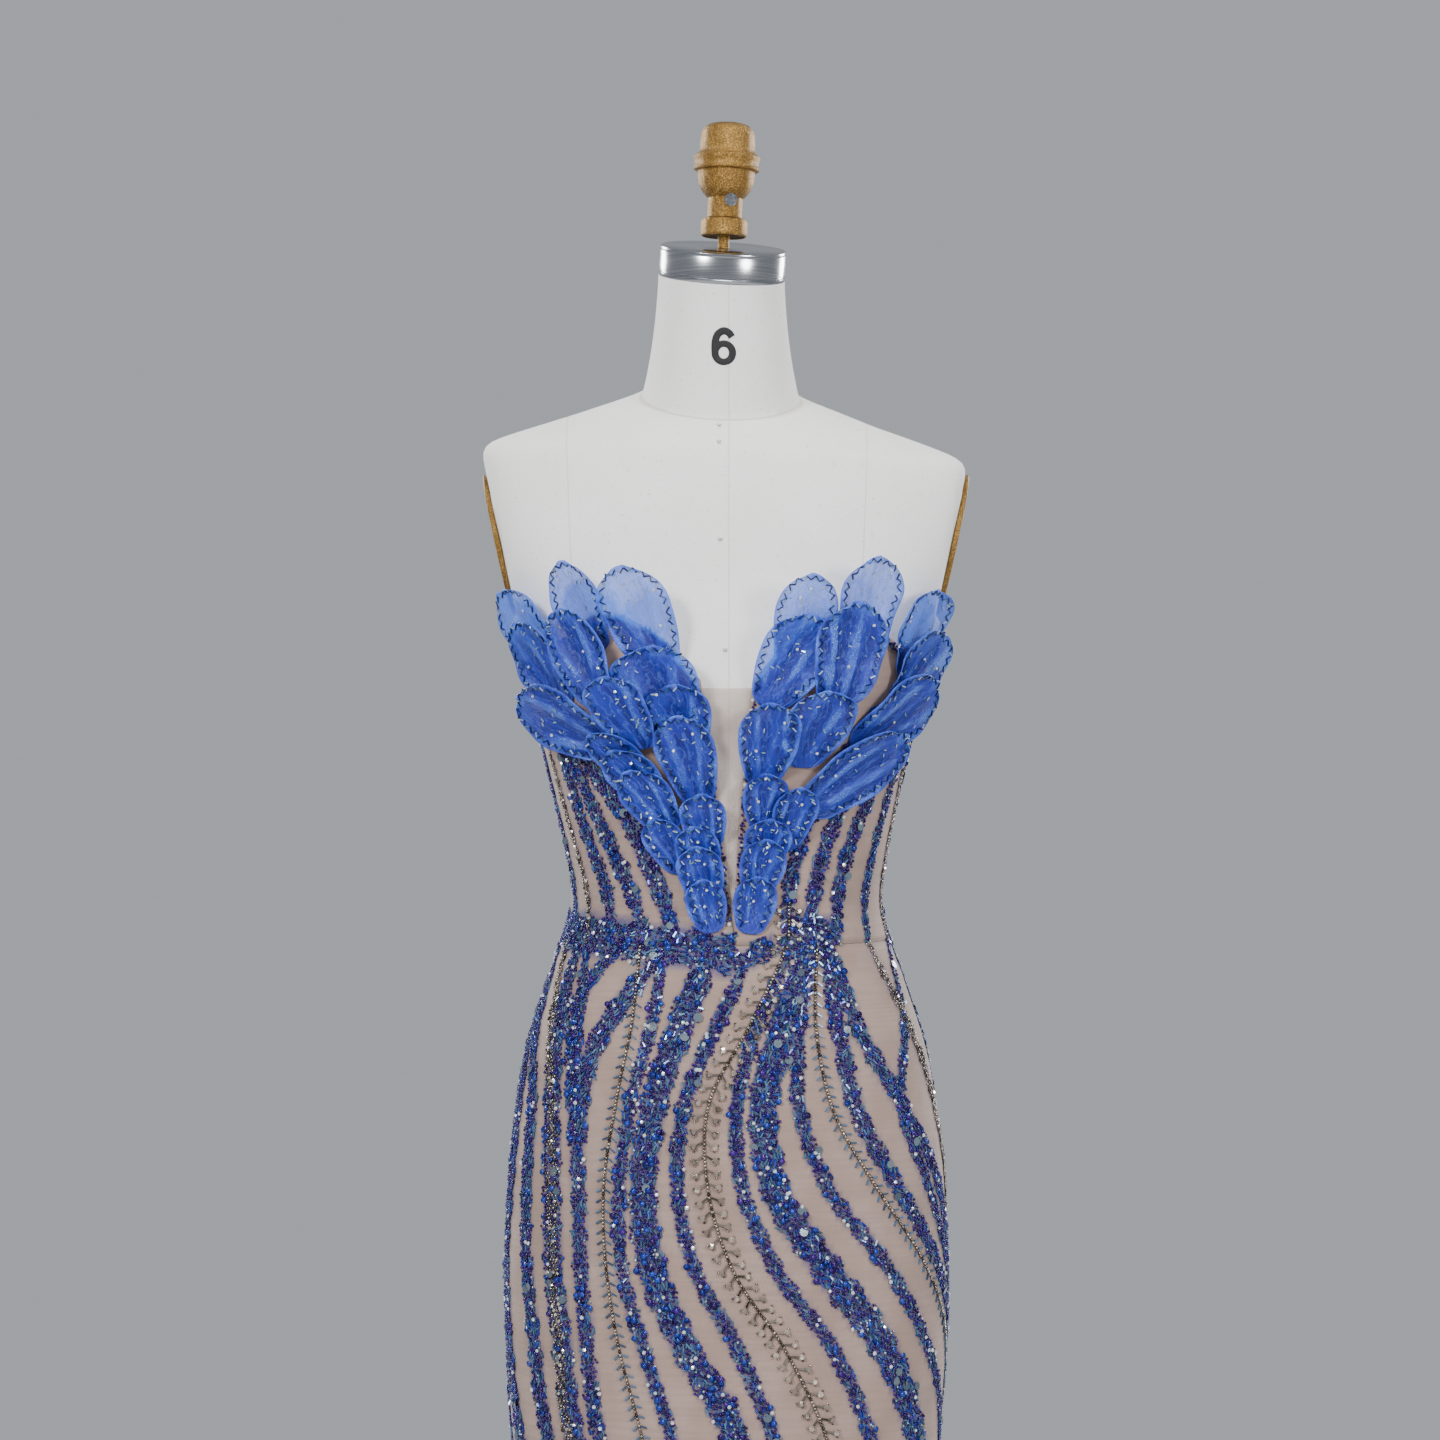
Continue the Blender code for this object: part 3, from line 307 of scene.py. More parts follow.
# Short soft creases, where the fitted cloth is pulled at the waist and the knee
CREASES = [
    # degrees_from_front, height, lean_degrees, length, width, depth
    (47, 0.998, 62, 0.050, 0.0045, 0.0007),
    (52, 0.988, 58, 0.060, 0.0050, 0.0009),
    (58, 0.974, 55, 0.064, 0.0055, 0.0008),
    (64, 0.958, 50, 0.050, 0.0050, 0.0006),
    (20, 0.992, 78, 0.060, 0.0060, 0.0006),
    (14, 0.982, 80, 0.045, 0.0050, 0.0005),
    (-52, 1.000, -60, 0.046, 0.0050, 0.0006),
    (-66, 0.985, -54, 0.052, 0.0055, 0.0008),
    (-84, 1.006, -75, 0.060, 0.0060, 0.0007),
    (96, 1.000, 70, 0.060, 0.0060, 0.0008),
    (118, 0.990, 74, 0.064, 0.0065, 0.0009),
    (140, 0.982, 78, 0.052, 0.0060, 0.0007),
    (-112, 0.992, -72, 0.062, 0.0060, 0.0008),
    (-132, 0.984, -76, 0.055, 0.0065, 0.0009),
    (-150, 1.000, -80, 0.048, 0.0060, 0.0006),
    (-30, 0.470, -70, 0.090, 0.0090, 0.0010),
    (38, 0.450, 74, 0.080, 0.0090, 0.0010),
    (85, 0.480, 68, 0.090, 0.0100, 0.0011),
    (-95, 0.470, -72, 0.090, 0.0100, 0.0010),
    (150, 0.480, 76, 0.085, 0.0090, 0.0010),
    (-160, 0.460, -74, 0.080, 0.0090, 0.0009),
]
CREASE_RADIUS = 0.14


def crease_lift(angle, height):
    """Soft ridges on the cloth: each a bell across its line that fades at both ends."""
    angle, height = np.broadcast_arrays(np.asarray(angle, float), np.asarray(height, float))
    lift = np.zeros(angle.shape)
    for degrees, level, lean, length, width, depth in CREASES:
        turn = math.radians(lean)
        beside = CREASE_RADIUS * wrapped(angle - math.radians(degrees))
        above = height - level
        along = beside * math.sin(turn) + above * math.cos(turn)
        across = beside * math.cos(turn) - above * math.sin(turn)
        bell = np.exp(-((across / width) ** 2) - (2.0 * along / length) ** 4)
        lift += depth * bell
    return lift


# Meshes from arrays

def grid_faces(rows, columns, closed=False):
    """Quads of a grid whose columns run round and whose rows run up."""
    starts = np.arange(columns if closed else columns - 1)
    row, column = np.meshgrid(np.arange(rows - 1), starts, indexing="ij")
    following = (column + 1) % columns
    quads = np.stack([row * columns + column, row * columns + following,
                      (row + 1) * columns + following, (row + 1) * columns + column], -1)
    return quads.reshape(-1, 4)


def mesh_object(name, points, faces, smooth=True, uv=None, **attributes):
    """Object at the origin from points and same-sized faces, with a UV place for each point.

    An attribute is a number or a colour for each point.
    """
    points = np.asarray(points, np.float32).reshape(-1, 3)
    faces = np.asarray(faces, np.int32)
    mesh = bpy.data.meshes.new(name)
    mesh.vertices.add(len(points))
    mesh.vertices.foreach_set("co", points.ravel())
    mesh.loops.add(faces.size)
    mesh.loops.foreach_set("vertex_index", faces.ravel())
    mesh.polygons.add(len(faces))
    mesh.polygons.foreach_set("loop_start", np.arange(0, faces.size, faces.shape[1], dtype=np.int32))
    mesh.polygons.foreach_set("use_smooth", np.full(len(faces), smooth))
    mesh.update(calc_edges=True)
    if uv is not None:
        layer = mesh.uv_layers.new(name="UVMap")
        layer.data.foreach_set("uv", np.asarray(uv, np.float32).reshape(-1, 2)[faces.ravel()].ravel())
    for key, values in attributes.items():
        values = np.asarray(values, np.float32)
        if values.ndim == 2 and values.shape[-1] == 3:
            colours = np.hstack([values, np.ones((len(values), 1), np.float32)])
            mesh.attributes.new(key, "FLOAT_COLOR", "POINT").data.foreach_set("color", colours.ravel())
        else:
            mesh.attributes.new(key, "FLOAT", "POINT").data.foreach_set("value", values.ravel())
    item = bpy.data.objects.new(name, mesh)
    bpy.context.scene.collection.objects.link(item)
    return item


def add_wall(item, thickness):
    """Give an open sheet its wall, on the inner side of its points."""
    shell = item.modifiers.new("wall", "SOLIDIFY")
    shell.thickness = thickness
    shell.offset = -1.0


def settle(item, material, stands_for=()):
    """Dress a finished piece, let it ride with the gown and hide the part's pieces that it stands for."""
    item.data.materials.append(material)
    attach(item, BODY)
    if stands_for:
        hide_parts(*stands_for)
    return item


# Shader maths

class Value:
    """A node's output socket in a Python expression: each operator adds a Math node."""

    def __init__(self, finish, socket):
        self.finish = finish
        self.socket = socket

    def math(self, operation, *others):
        values = {index: other for index, other in enumerate((self,) + others)}
        return self.finish.node("ShaderNodeMath", {"operation": operation}, values)

    def __add__(self, other):
        return self.math("ADD", other)

    def __sub__(self, other):
        return self.math("SUBTRACT", other)

    def __mul__(self, other):
        return self.math("MULTIPLY", other)

    def __abs__(self):
        return self.math("ABSOLUTE")

    def __rsub__(self, other):
        return self.finish.node("ShaderNodeMath", {"operation": "SUBTRACT"}, {0: other, 1: self})

    __radd__ = __add__
    __rmul__ = __mul__

    def sine(self):
        return self.math("SINE")

    def step(self, low, high):
        """Smooth rise from 0 at low to 1 at high."""
        return self.finish.node("ShaderNodeMapRange", {"interpolation_type": "SMOOTHSTEP"},
                                {"Value": self, "From Min": low, "From Max": high})


class Finish:
    """A material being made: its tree, its Principled shader and the nodes that feed it."""

    def __init__(self, name, **constants):
        self.material = bpy.data.materials.new(name)
        self.material.use_nodes = True
        self.tree = self.material.node_tree
        self.shader = self.tree.nodes["Principled BSDF"]
        for key, value in constants.items():
            self.shader.inputs[key.replace("_", " ").title().replace("Ior", "IOR")].default_value = value

    def node(self, kind, settings=None, values=None, output=0):
        item = self.tree.nodes.new(kind)
        for key, value in (settings or {}).items():
            setattr(item, key, value)
        for key, value in (values or {}).items():
            self.connect(value, item.inputs[key])
        return Value(self, item.outputs[output])

    def connect(self, value, socket):
        if isinstance(value, Value):
            self.tree.links.new(value.socket, socket)
        else:
            socket.default_value = value

    def feed(self, name, value):
        self.connect(value, self.shader.inputs[name])

    def place(self, kind="Object"):
        return self.node("ShaderNodeTexCoord", output=kind)

    def axes(self, vector):
        split = self.node("ShaderNodeSeparateXYZ", values={"Vector": vector})
        return [Value(self, split.socket.node.outputs[axis]) for axis in "XYZ"]

    def attribute(self, name, output="Fac"):
        return self.node("ShaderNodeAttribute", {"attribute_name": name}, output=output)

    def noise(self, vector, size, detail=2.0, roughness=0.5):
        """Cloudy noise between 0 and 1 whose features are about size metres wide."""
        return self.node("ShaderNodeTexNoise", {}, {"Vector": vector, "Scale": 1.0 / size, "Detail": detail,
                                                    "Roughness": roughness})

    def weave(self, across, along, pitch):
        """Crossing threads a pitch apart: sin(2 pi across / pitch) sin(2 pi along / pitch)."""
        turn = 2 * math.pi / pitch
        return (across * turn).sine() * (along * turn).sine()

    def stretch(self, vector, scale):
        return self.node("ShaderNodeMapping", {}, {"Vector": vector, "Scale": scale})

    def mix(self, share, first, second):
        """Colour between two, by share."""
        return self.node("ShaderNodeMix", {"data_type": "RGBA"},
                         {0: share, 6: colour(first), 7: colour(second)}, 2)

    def bump(self, height, strength, distance):
        values = {"Strength": strength, "Distance": distance, "Height": height}
        self.feed("Normal", self.node("ShaderNodeBump", {}, values))


def colour(value):
    return value if isinstance(value, Value) else (*value, 1.0)


# Distance between threads
TULLE_PITCH = 0.0011
NET_PITCH = 0.0012
CANVAS_PITCH = 0.0010
TAPE_PITCH = 0.0007


def beaded_tulle():
    """Nude tulle on a lining: a fine net, faint cross lines, and dark thread with painted shade under the
    bands of beads.
    """
    finish = Finish("nude_tulle", roughness=0.72, sheen_weight=0.25, sheen_roughness=0.5)
    uv = finish.place("UV")
    across, along, _ = finish.axes(uv)
    net = finish.weave(across, along, TULLE_PITCH)
    moire = finish.noise(finish.stretch(uv, (4.0, 90.0, 1.0)), 0.30, 2.0)
    cloud = finish.noise(uv, 0.05, 3.0)
    nude = finish.mix(cloud.step(0.3, 0.7), (0.275, 0.186, 0.150), (0.335, 0.236, 0.196))
    nude = finish.mix(moire.step(0.42, 0.60) * 0.35, nude, (0.235, 0.165, 0.140))
    nude = finish.mix(net.step(-0.2, 0.9) * 0.16, nude, (0.20, 0.13, 0.11))
    # Dark blue under the bands of beads: partly the beads' thread, partly painted shade
    bed = finish.attribute("bed")
    thread = finish.noise(uv, 0.0016, 2.0)
    shade = finish.mix(thread.step(0.35, 0.65), (0.026, 0.022, 0.10), (0.060, 0.065, 0.19))
    finish.feed("Base Color", finish.mix(bed * 0.85, nude, shade))
    finish.bump(net * 0.5 + thread, 0.25, 0.0003)
    return finish.material


def nude_net():
    """Sheer nude net over the white form."""
    finish = Finish("nude_net", roughness=0.75, sheen_weight=0.2)
    uv = finish.place("UV")
    across, along, _ = finish.axes(uv)
    net = finish.weave(across, along, NET_PITCH)
    cloud = finish.noise(uv, 0.03, 2.0)
    finish.feed("Base Color", finish.mix(cloud.step(0.3, 0.7), (0.56, 0.43, 0.36), (0.66, 0.53, 0.46)))
    finish.feed("Alpha", 0.26 + 0.16 * net.step(-0.3, 0.8))
    finish.bump(net, 0.2, 0.0002)
    return finish.material


def blue_organza():
    """Crisp sheer organza: deep royal blue over other layers and, by painted shade, in the pockets of its
    folds; lighter where one layer hangs free, with painted highlights on the ridges and in thin streaks,
    painted sheen and glints in a fine grain, and a denser rim with a painted sheen line."""
    finish = Finish("blue_organza", sheen_weight=0.12, sheen_roughness=0.4, ior=1.45)
    finish.shader.inputs["Sheen Tint"].default_value = (0.42, 0.55, 1.0, 1.0)
    uv = finish.place("UV")
    place = finish.place()
    grain = finish.noise(place, 0.0009, 3.0, 0.75)
    flow = finish.noise(finish.stretch(uv, (2.0, 0.8, 1.0)), 0.012, 2.0)
    drift = finish.noise(place, 0.020, 1.0)
    rim = finish.attribute("rim")
    layers = finish.attribute("layers")
    fold = finish.attribute("fold")
    # Painted highlights on the folds' ridges and painted shade in their pockets, from the fold attribute and
    # a flowing noise
    ridge = (fold + (flow - 0.5) * 0.9).step(0.02, 0.50)
    pocket = ((flow - 0.5) * -1.1 - fold).step(0.04, 0.50)
    # Painted sheen in patches of the ridges, painted glints in its fine grain, and thin painted highlight
    # streaks
    painted_sheen = ridge * drift.step(0.30, 0.60)
    glint = grain.step(0.46, 0.64) * painted_sheen
    highlight_streak = (1.0 - abs(flow - 0.5) * 2.0).step(0.93, 0.995)
    base = finish.mix(layers.step(0.0, 0.7), (0.036, 0.195, 0.92), (0.010, 0.022, 0.38))
    # Painted shade in the pockets, then painted highlights on the ridges
    base = finish.mix(pocket * (0.15 + 0.70 * layers), base, (0.003, 0.006, 0.16))
    base = finish.mix(ridge * 0.35 * layers, base, (0.020, 0.060, 0.54))
    # Painted sheen, painted highlight streaks and painted glints
    base = finish.mix(painted_sheen * 0.40, base, (0.044, 0.122, 0.64))
    base = finish.mix(highlight_streak * 0.25, base, (0.095, 0.210, 0.78))
    base = finish.mix(glint * 0.70, base, (0.20, 0.41, 0.86))
    # Rim: partly its denser double hem, partly a painted sheen line
    base = finish.mix(rim * 0.40, base, (0.050, 0.120, 0.72))
    finish.feed("Base Color", base)
    finish.feed("Alpha", 0.50 + 0.36 * layers + 0.06 * painted_sheen + 0.08 * glint + 0.10 * highlight_streak + 0.12 * rim)
    finish.feed("Roughness", 0.42 - 0.14 * glint)
    relief = finish.noise(finish.stretch(uv, (1.6, 0.8, 1.0)), 0.008, 2.0)
    finish.bump(relief + 0.12 * grain, 0.9, 0.0035)
    return finish.material


def bead_glass():
    """Beads, bugles, sequins and crystals, each in its own tint, with metal where it is lined."""
    finish = Finish("bead_glass", roughness=0.14, ior=1.42)
    finish.feed("Base Color", finish.attribute("tint", "Color"))
    metal = finish.attribute("metal")
    finish.feed("Metallic", metal)
    speck = finish.noise(finish.place(), 0.0012, 2.0)
    finish.feed("Roughness", 0.10 + 0.16 * speck.step(0.35, 0.7))
    return finish.material


def white_canvas():
    """Off-white canvas with fine specks, a plain weave, and the form's sewn seams."""
    finish = Finish("white_canvas", roughness=0.85)
    place = finish.place()
    x, y, z = finish.axes(place)
    weave = finish.weave(x + y, z, CANVAS_PITCH)
    cloud = finish.noise(place, 0.10, 3.0)
    speck = finish.noise(place, 0.0022, 2.0).step(0.66, 0.74)
    fleck = finish.noise(place, 0.0060, 1.0).step(0.70, 0.76)
    base = finish.mix(cloud.step(0.3, 0.7), (0.78, 0.765, 0.735), (0.84, 0.825, 0.80))
    base = finish.mix(speck * 0.55, base, (0.46, 0.40, 0.32))
    base = finish.mix(fleck * 0.30, base, (0.58, 0.53, 0.45))
    centre = abs(x - CENTRE_SEAM)
    pair = abs(abs(x - PAIR_MIDDLE) - (PAIR_HALF_WIDTH + PAIR_SPREAD * (z - PAIR_LEVEL)))
    _, half_depth, _, depth, height, dip = NECK_SEAM
    collar = abs(z - (y - depth) * (dip / half_depth) + x * SHOULDER_DROP - height)
    seams = (1.0 - centre.step(0.0002, 0.0007)) + (1.0 - pair.step(0.0002, 0.0007))
    seams = seams + (1.0 - collar.step(0.0003, 0.0010))
    base = finish.mix(seams.math("MINIMUM", 1.0) * 0.40, base, (0.42, 0.39, 0.35))
    finish.feed("Base Color", base)
    finish.bump(weave * 0.25 - seams * 1.5 + speck * 0.2, 0.35, 0.0004)
    return finish.material


def cast_brass():
    """Sand-cast brass: a grainy satin gold with darker pits."""
    finish = Finish("cast_brass", metallic=1.0)
    place = finish.place()
    grain = finish.noise(place, 0.0011, 3.0, 0.7)
    cloud = finish.noise(place, 0.012, 2.0)
    base = finish.mix(cloud.step(0.3, 0.7), (0.40, 0.225, 0.060), (0.56, 0.34, 0.105))
    base = finish.mix(grain.step(0.38, 0.54) * 0.9, base, (0.130, 0.068, 0.018))
    finish.feed("Base Color", finish.mix(grain.step(0.60, 0.72) * 0.8, base, (0.88, 0.64, 0.28)))
    finish.feed("Roughness", 0.28 + 0.25 * grain)
    finish.bump(grain, 0.9, 0.0011)
    return finish.material


def polished_steel():
    """Turned steel with faint tool marks round it."""
    finish = Finish("polished_steel", metallic=1.0)
    marks = finish.noise(finish.stretch(finish.place(), (6.0, 6.0, 900.0)), 0.5, 3.0)
    finish.feed("Base Color", finish.mix(marks.step(0.3, 0.7), (0.30, 0.31, 0.33), (0.44, 0.45, 0.47)))
    finish.feed("Roughness", 0.14 + 0.12 * marks)
    finish.bump(marks, 0.08, 0.0002)
    return finish.material


def nickel():
    """Plated zip hardware with small scuffs."""
    finish = Finish("nickel", metallic=1.0)
    scuff = finish.noise(finish.place(), 0.002, 3.0)
    finish.feed("Base Color", finish.mix(scuff.step(0.35, 0.7), (0.58, 0.56, 0.53), (0.70, 0.68, 0.65)))
    finish.feed("Roughness", 0.20 + 0.15 * scuff)
    finish.bump(scuff, 0.1, 0.0002)
    return finish.material


def zip_tape():
    """Woven nude tape."""
    finish = Finish("zip_tape", roughness=0.7)
    _, _, z = finish.axes(finish.place())
    rib = (z * (2 * math.pi / TAPE_PITCH)).sine()
    cloud = finish.noise(finish.place(), 0.004, 2.0)
    finish.feed("Base Color", finish.mix(cloud.step(0.3, 0.7), (0.27, 0.185, 0.15), (0.36, 0.25, 0.21)))
    finish.bump(rib, 0.3, 0.0003)
    return finish.material


def stand_paint():
    """Satin black paint with a faint orange peel and dust."""
    finish = Finish("stand_paint")
    place = finish.place()
    peel = finish.noise(place, 0.003, 2.0)
    dust = finish.noise(place, 0.06, 4.0)
    share = dust.step(0.4, 0.8) * 0.5
    finish.feed("Base Color", finish.mix(share, (0.022, 0.022, 0.025), (0.06, 0.06, 0.062)))
    finish.feed("Roughness", 0.36 + 0.2 * dust)
    finish.bump(peel, 0.12, 0.0003)
    return finish.material


def printed_ink():
    """Black printed ink, worn a little by the weave."""
    finish = Finish("printed_ink", roughness=0.8)
    wear = finish.noise(finish.place(), 0.0015, 2.0)
    share = wear.step(0.62, 0.75) * 0.4
    finish.feed("Base Color", finish.mix(share, (0.012, 0.012, 0.013), (0.10, 0.10, 0.10)))
    return finish.material


def pale_floor():
    """Matt pale floor with faint clouds."""
    finish = Finish("pale_floor", roughness=0.9)
    cloud = finish.noise(finish.place(), 0.8, 3.0)
    finish.feed("Base Color", finish.mix(cloud, (0.60, 0.60, 0.61), (0.64, 0.64, 0.65)))
    return finish.material


TULLE = beaded_tulle()
NET = nude_net()
ORGANZA_BLUE = blue_organza()
GLASS = bead_glass()
CANVAS = white_canvas()
BRASS = cast_brass()
STEEL = polished_steel()
NICKEL = nickel()
TAPE = zip_tape()
PAINT = stand_paint()
INK = printed_ink()


# Bands of beads. Each is a route over the cloth with a width and a kind of filling.

BAND_HEIGHTS = (1.020, 0.960, 0.900, 0.840, 0.780, 0.720, 0.660)
FRONT_BANDS = [
    # kind, width, degrees_from_front at each of BAND_HEIGHTS
    ("mixed", 0.018, (-88, -83, -80, -80, -82, -80, -77)),
    ("silver", 0.009, (-75, -68, -62, -60, -59, -57, -55)),
    ("mixed", 0.014, (-84, -78, -71, -70, -69, -66, -63)),
    ("mixed", 0.017, (-66, -64, -62, -60, -59, -56, -53)),
    ("mixed", 0.012, (-60, -56, -54, -51, -50, -48, -45)),
    ("stem", 0.009, (-36, -36, -40, -43, -42, -38, -31)),
    ("mixed", 0.010, (-26, -29, -35, -38, -37, -30, -21)),
    ("thick", 0.021, (-6, -18, -27, -30, -27, -15, 2)),
    ("mixed", 0.011, (12, -4, -16, -18, -12, 4, 16)),
    ("fern", 0.014, (26, 9, -7, -7, 2, 21, 34)),
    ("mixed", 0.011, (28, 12, 4, 6, 18, 37, 48)),
    ("thick", 0.022, (33, 22, 14, 18, 35, 53, 64)),
    ("mixed", 0.011, (37, 28, 27, 36, 54, 68, 80)),
    ("stem", 0.009, (38, 34, 38, 51, 67, 81, 92)),
    ("mixed", 0.013, (41, 42, 46, 58, 73, 88, 102)),
    ("mixed", 0.013, (44, 49, 62, 76, 87, 100, 113)),
    ("silver", 0.010, (62, 72, 80, 87, 96, 108, 120)),
    ("mixed", 0.010, (78, 70, 62, 70, 81, 94, 108)),
]
BACK_BANDS = [
    # kind, width, degrees at the waist, degrees at the knee, sideways swing
    ("mixed", 0.013, 95, 133, -6),
    ("thick", 0.020, 112, 145, -6),
    ("stem", 0.009, 129, 156, -5),
    ("mixed", 0.012, 146, 166, -4),
    ("mixed", 0.012, 164, 176, -2),
    ("mixed", 0.012, -97, -90, -6),
    ("stem", 0.009, -108, -102, -7),
    ("thick", 0.019, -121, -115, -7),
    ("fern", 0.014, -135, -129, -6),
    ("mixed", 0.012, -148, -143, -5),
    ("mixed", 0.013, -160, -156, -4),
    ("mixed", 0.010, -172, -168, -2),
]
# Sideways drift of every band below the knee, in degrees past its place there
DRIFT = [
    # height, degrees
    (0.600, 7),
    (0.540, 11),
    (0.470, 12),
    (0.400, 8),
    (0.320, 0),
    (0.240, -9),
    (0.160, -14),
    (0.080, -15),
    (0.018, -13),
]
BODICE_BAND_HEIGHTS = (1.020, 1.065, 1.110, 1.155, 1.200)
BODICE_BANDS = [
    # kind, width, degrees_from_front at each of BODICE_BAND_HEIGHTS
    ("silver", 0.006, (-60, -65, -71, -74, -75)),
    ("mixed", 0.010, (-72, -76, -81, -84, -86)),
    ("mixed", 0.013, (-48, -54, -62, -65, -66)),
    ("mixed", 0.015, (-20, -30, -40, -53, -60)),
    ("mixed", 0.013, (-33, -43, -53, -60, -64)),
    ("mixed", 0.011, (-8, -16, -26, -40, -50)),
    ("silver", 0.007, (80, 81, 82, 80, 77)),
    ("mixed", 0.011, (62, 65, 69, 72, 73)),
    ("mixed", 0.013, (47, 50, 56, 63, 69)),
    ("mixed", 0.013, (35, 39, 45, 53, 61)),
    ("mixed", 0.012, (25, 28, 34, 42, 51)),
    ("mixed", 0.010, (92, 92, 92, 91, 90)),
]
BACK_BODICE_DEGREES = [
    # kind, at_the_waist, at_the_top
    ("mixed", 100, 96),
    ("mixed", 112, 106),
    ("silver", 122, 115),
    ("mixed", 133, 125),
    ("mixed", 145, 137),
    ("mixed", 156, 150),
    ("mixed", 167, 165),
]
BELTS = [
    # kind, width, (degrees_from_front, height) along it
    ("loose", 0.046, ((-100, 1.026), (-72, 1.027), (-48, 1.024), (-25, 1.020), (-5, 1.016), (4, 1.013))),
    ("loose", 0.026, ((3, 1.008), (9, 1.011), (15, 1.016), (20, 1.022))),
    ("loose", 0.044, ((24, 1.032), (30, 1.028), (38, 1.026), (46, 1.026))),
    ("fern", 0.014, ((27.5, 1.056), (27.2, 1.040), (26.5, 1.024))),
    ("mixed", 0.016, ((-26, 1.016), (-38, 0.985), (-45, 0.960), (-50, 0.930), (-52, 0.900), (-52, 0.870))),
    ("mixed", 0.014, ((-42, 1.021), (-52, 1.000), (-57.5, 0.976), (-57, 0.951), (-55.5, 0.929),
                      (-54, 0.900))),
    ("mixed", 0.015, ((-178, 1.020), (-140, 1.016), (-112, 1.021), (-92, 1.024))),
    ("mixed", 0.015, ((84, 1.024), (110, 1.018), (150, 1.018), (178, 1.020))),
]
BACK_BODICE_WIDTH = 0.010
BACK_BODICE_SHARES = np.array([0.0, 0.4, 0.8, 1.0])
ROUTE_STEP = 0.002
ROUTE_SAMPLES = 600
# A route that rises less than this goes round the waist
BELT_RISE = 0.05
# Rows of beads that edge the top, from one angle to another, and the plunge
TOP_TRIM_WIDTH = 0.0045
TOP_TRIM_DEGREES = (16.0, 178.0)
TOP_TRIM_DROP = 0.0035
PLUNGE_TRIM_WIDTH = 0.0036
PLUNGE_TRIM_INSET = 0.0022
PLUNGE_TRIM_RADIUS = 0.1
PLUNGE_TRIM_ENDS = (0.004, 0.020)
# Softness of the painted shade and dark thread under a band, inside and outside its edge
SHADE_FADE_INSIDE = 0.003
SHADE_FADE_OUTSIDE = 0.001
# Beads stand closer above LOW_START than below it, and a loose band leaves some out
HIGH_SPACING = 0.00262
LOW_SPACING = 0.0037
LOW_START = 0.56
LOOSE_SHARE = 0.96


def route(degrees, heights):
    """Evenly spaced places on a smooth curve through a few, with the way that it heads.

    The length between places is measured on the cloth at its own radius.
    """
    angles = np.radians(np.asarray(degrees, float))
    heights = np.asarray(heights, float)
    radius = cloth_radius(angles, heights)
    legs = np.hypot(np.diff(angles) * 0.5 * (radius[1:] + radius[:-1]), np.diff(heights))
    knots = np.concatenate([[0.0], np.cumsum(legs)])
    fine = np.linspace(0.0, knots[-1], ROUTE_SAMPLES)
    angle, height = through(knots, np.stack([angles, heights], -1), fine)
    radius = cloth_radius(angle, height)
    run = np.hypot(np.diff(angle) * 0.5 * (radius[1:] + radius[:-1]), np.diff(height))
    length = np.concatenate([[0.0], np.cumsum(run)])
    places = np.arange(0.0, length[-1], ROUTE_STEP)
    angle = np.interp(places, length, angle)
    height = np.interp(places, length, height)
    sideways = np.gradient(angle) * cloth_radius(angle, height)
    heading = np.arctan2(np.gradient(height), sideways)
    return places, angle, height, heading


def band_routes():
    """All bands as (kind, width, places, angle, height, heading)."""
    drift = np.array(DRIFT, float)
    bands = []

    def skirt_band(kind, width, degrees, heights):
        low = degrees[-1] + drift[:, 1]
        bands.append((kind, width, *route(list(degrees) + list(low), list(heights) + list(drift[:, 0]))))

    for kind, width, degrees in FRONT_BANDS:
        skirt_band(kind, width, degrees, BAND_HEIGHTS)
    share = (BAND_HEIGHTS[0] - np.array(BAND_HEIGHTS)) / (BAND_HEIGHTS[0] - BAND_HEIGHTS[-1])
    for kind, width, waist, knee, swing in BACK_BANDS:
        degrees = waist + (knee - waist) * share**1.5 + swing * np.sin(math.pi * share)
        skirt_band(kind, width, list(degrees), BAND_HEIGHTS)
    for kind, width, degrees in BODICE_BANDS:
        bands.append((kind, width, *route(degrees, BODICE_BAND_HEIGHTS)))
    for kind, waist, top in BACK_BODICE_DEGREES:
        crest = float(top_edge(math.radians(top)))
        for side in (-1, 1):
            degrees = side * (waist + (top - waist) * BACK_BODICE_SHARES)
            heights = WAIST_SEAM + (crest - WAIST_SEAM) * BACK_BODICE_SHARES
            bands.append((kind, BACK_BODICE_WIDTH, *route(degrees, heights)))
    for kind, width, belt in BELTS:
        degrees, heights = np.array(belt, float).T
        bands.append((kind, width, *route(degrees, heights)))
    above, below = PLUNGE_TRIM_ENDS
    for side in (-1, 1):
        degrees = side * np.linspace(*TOP_TRIM_DEGREES, 40)
        heights = top_edge(np.radians(degrees)) - TOP_TRIM_DROP
        bands.append(("trim", TOP_TRIM_WIDTH, *route(degrees, heights)))
        heights = np.linspace(PLUNGE_POINT + above, BODICE_TOP - below, 14)
        edge = plunge_edge(heights, side) + side * PLUNGE_TRIM_INSET / PLUNGE_TRIM_RADIUS
        bands.append(("trim", PLUNGE_TRIM_WIDTH, *route(np.degrees(edge), heights)))
    return bands


BANDS = band_routes()


def band_width(kind, width, height):
    """A band's width at a height: narrow at the waist, wider as the skirt flares out."""
    if kind == "trim":
        return width + 0 * height
    waist = 0.62 + 0.38 * smooth_step(np.abs(height - WAIST_SEAM), 0.0, 0.05)
    flare = 1.0 + 0.55 * smooth_step(FLUTE_START - height, 0.0, FLUTE_START - HEM)
    return width * waist * flare
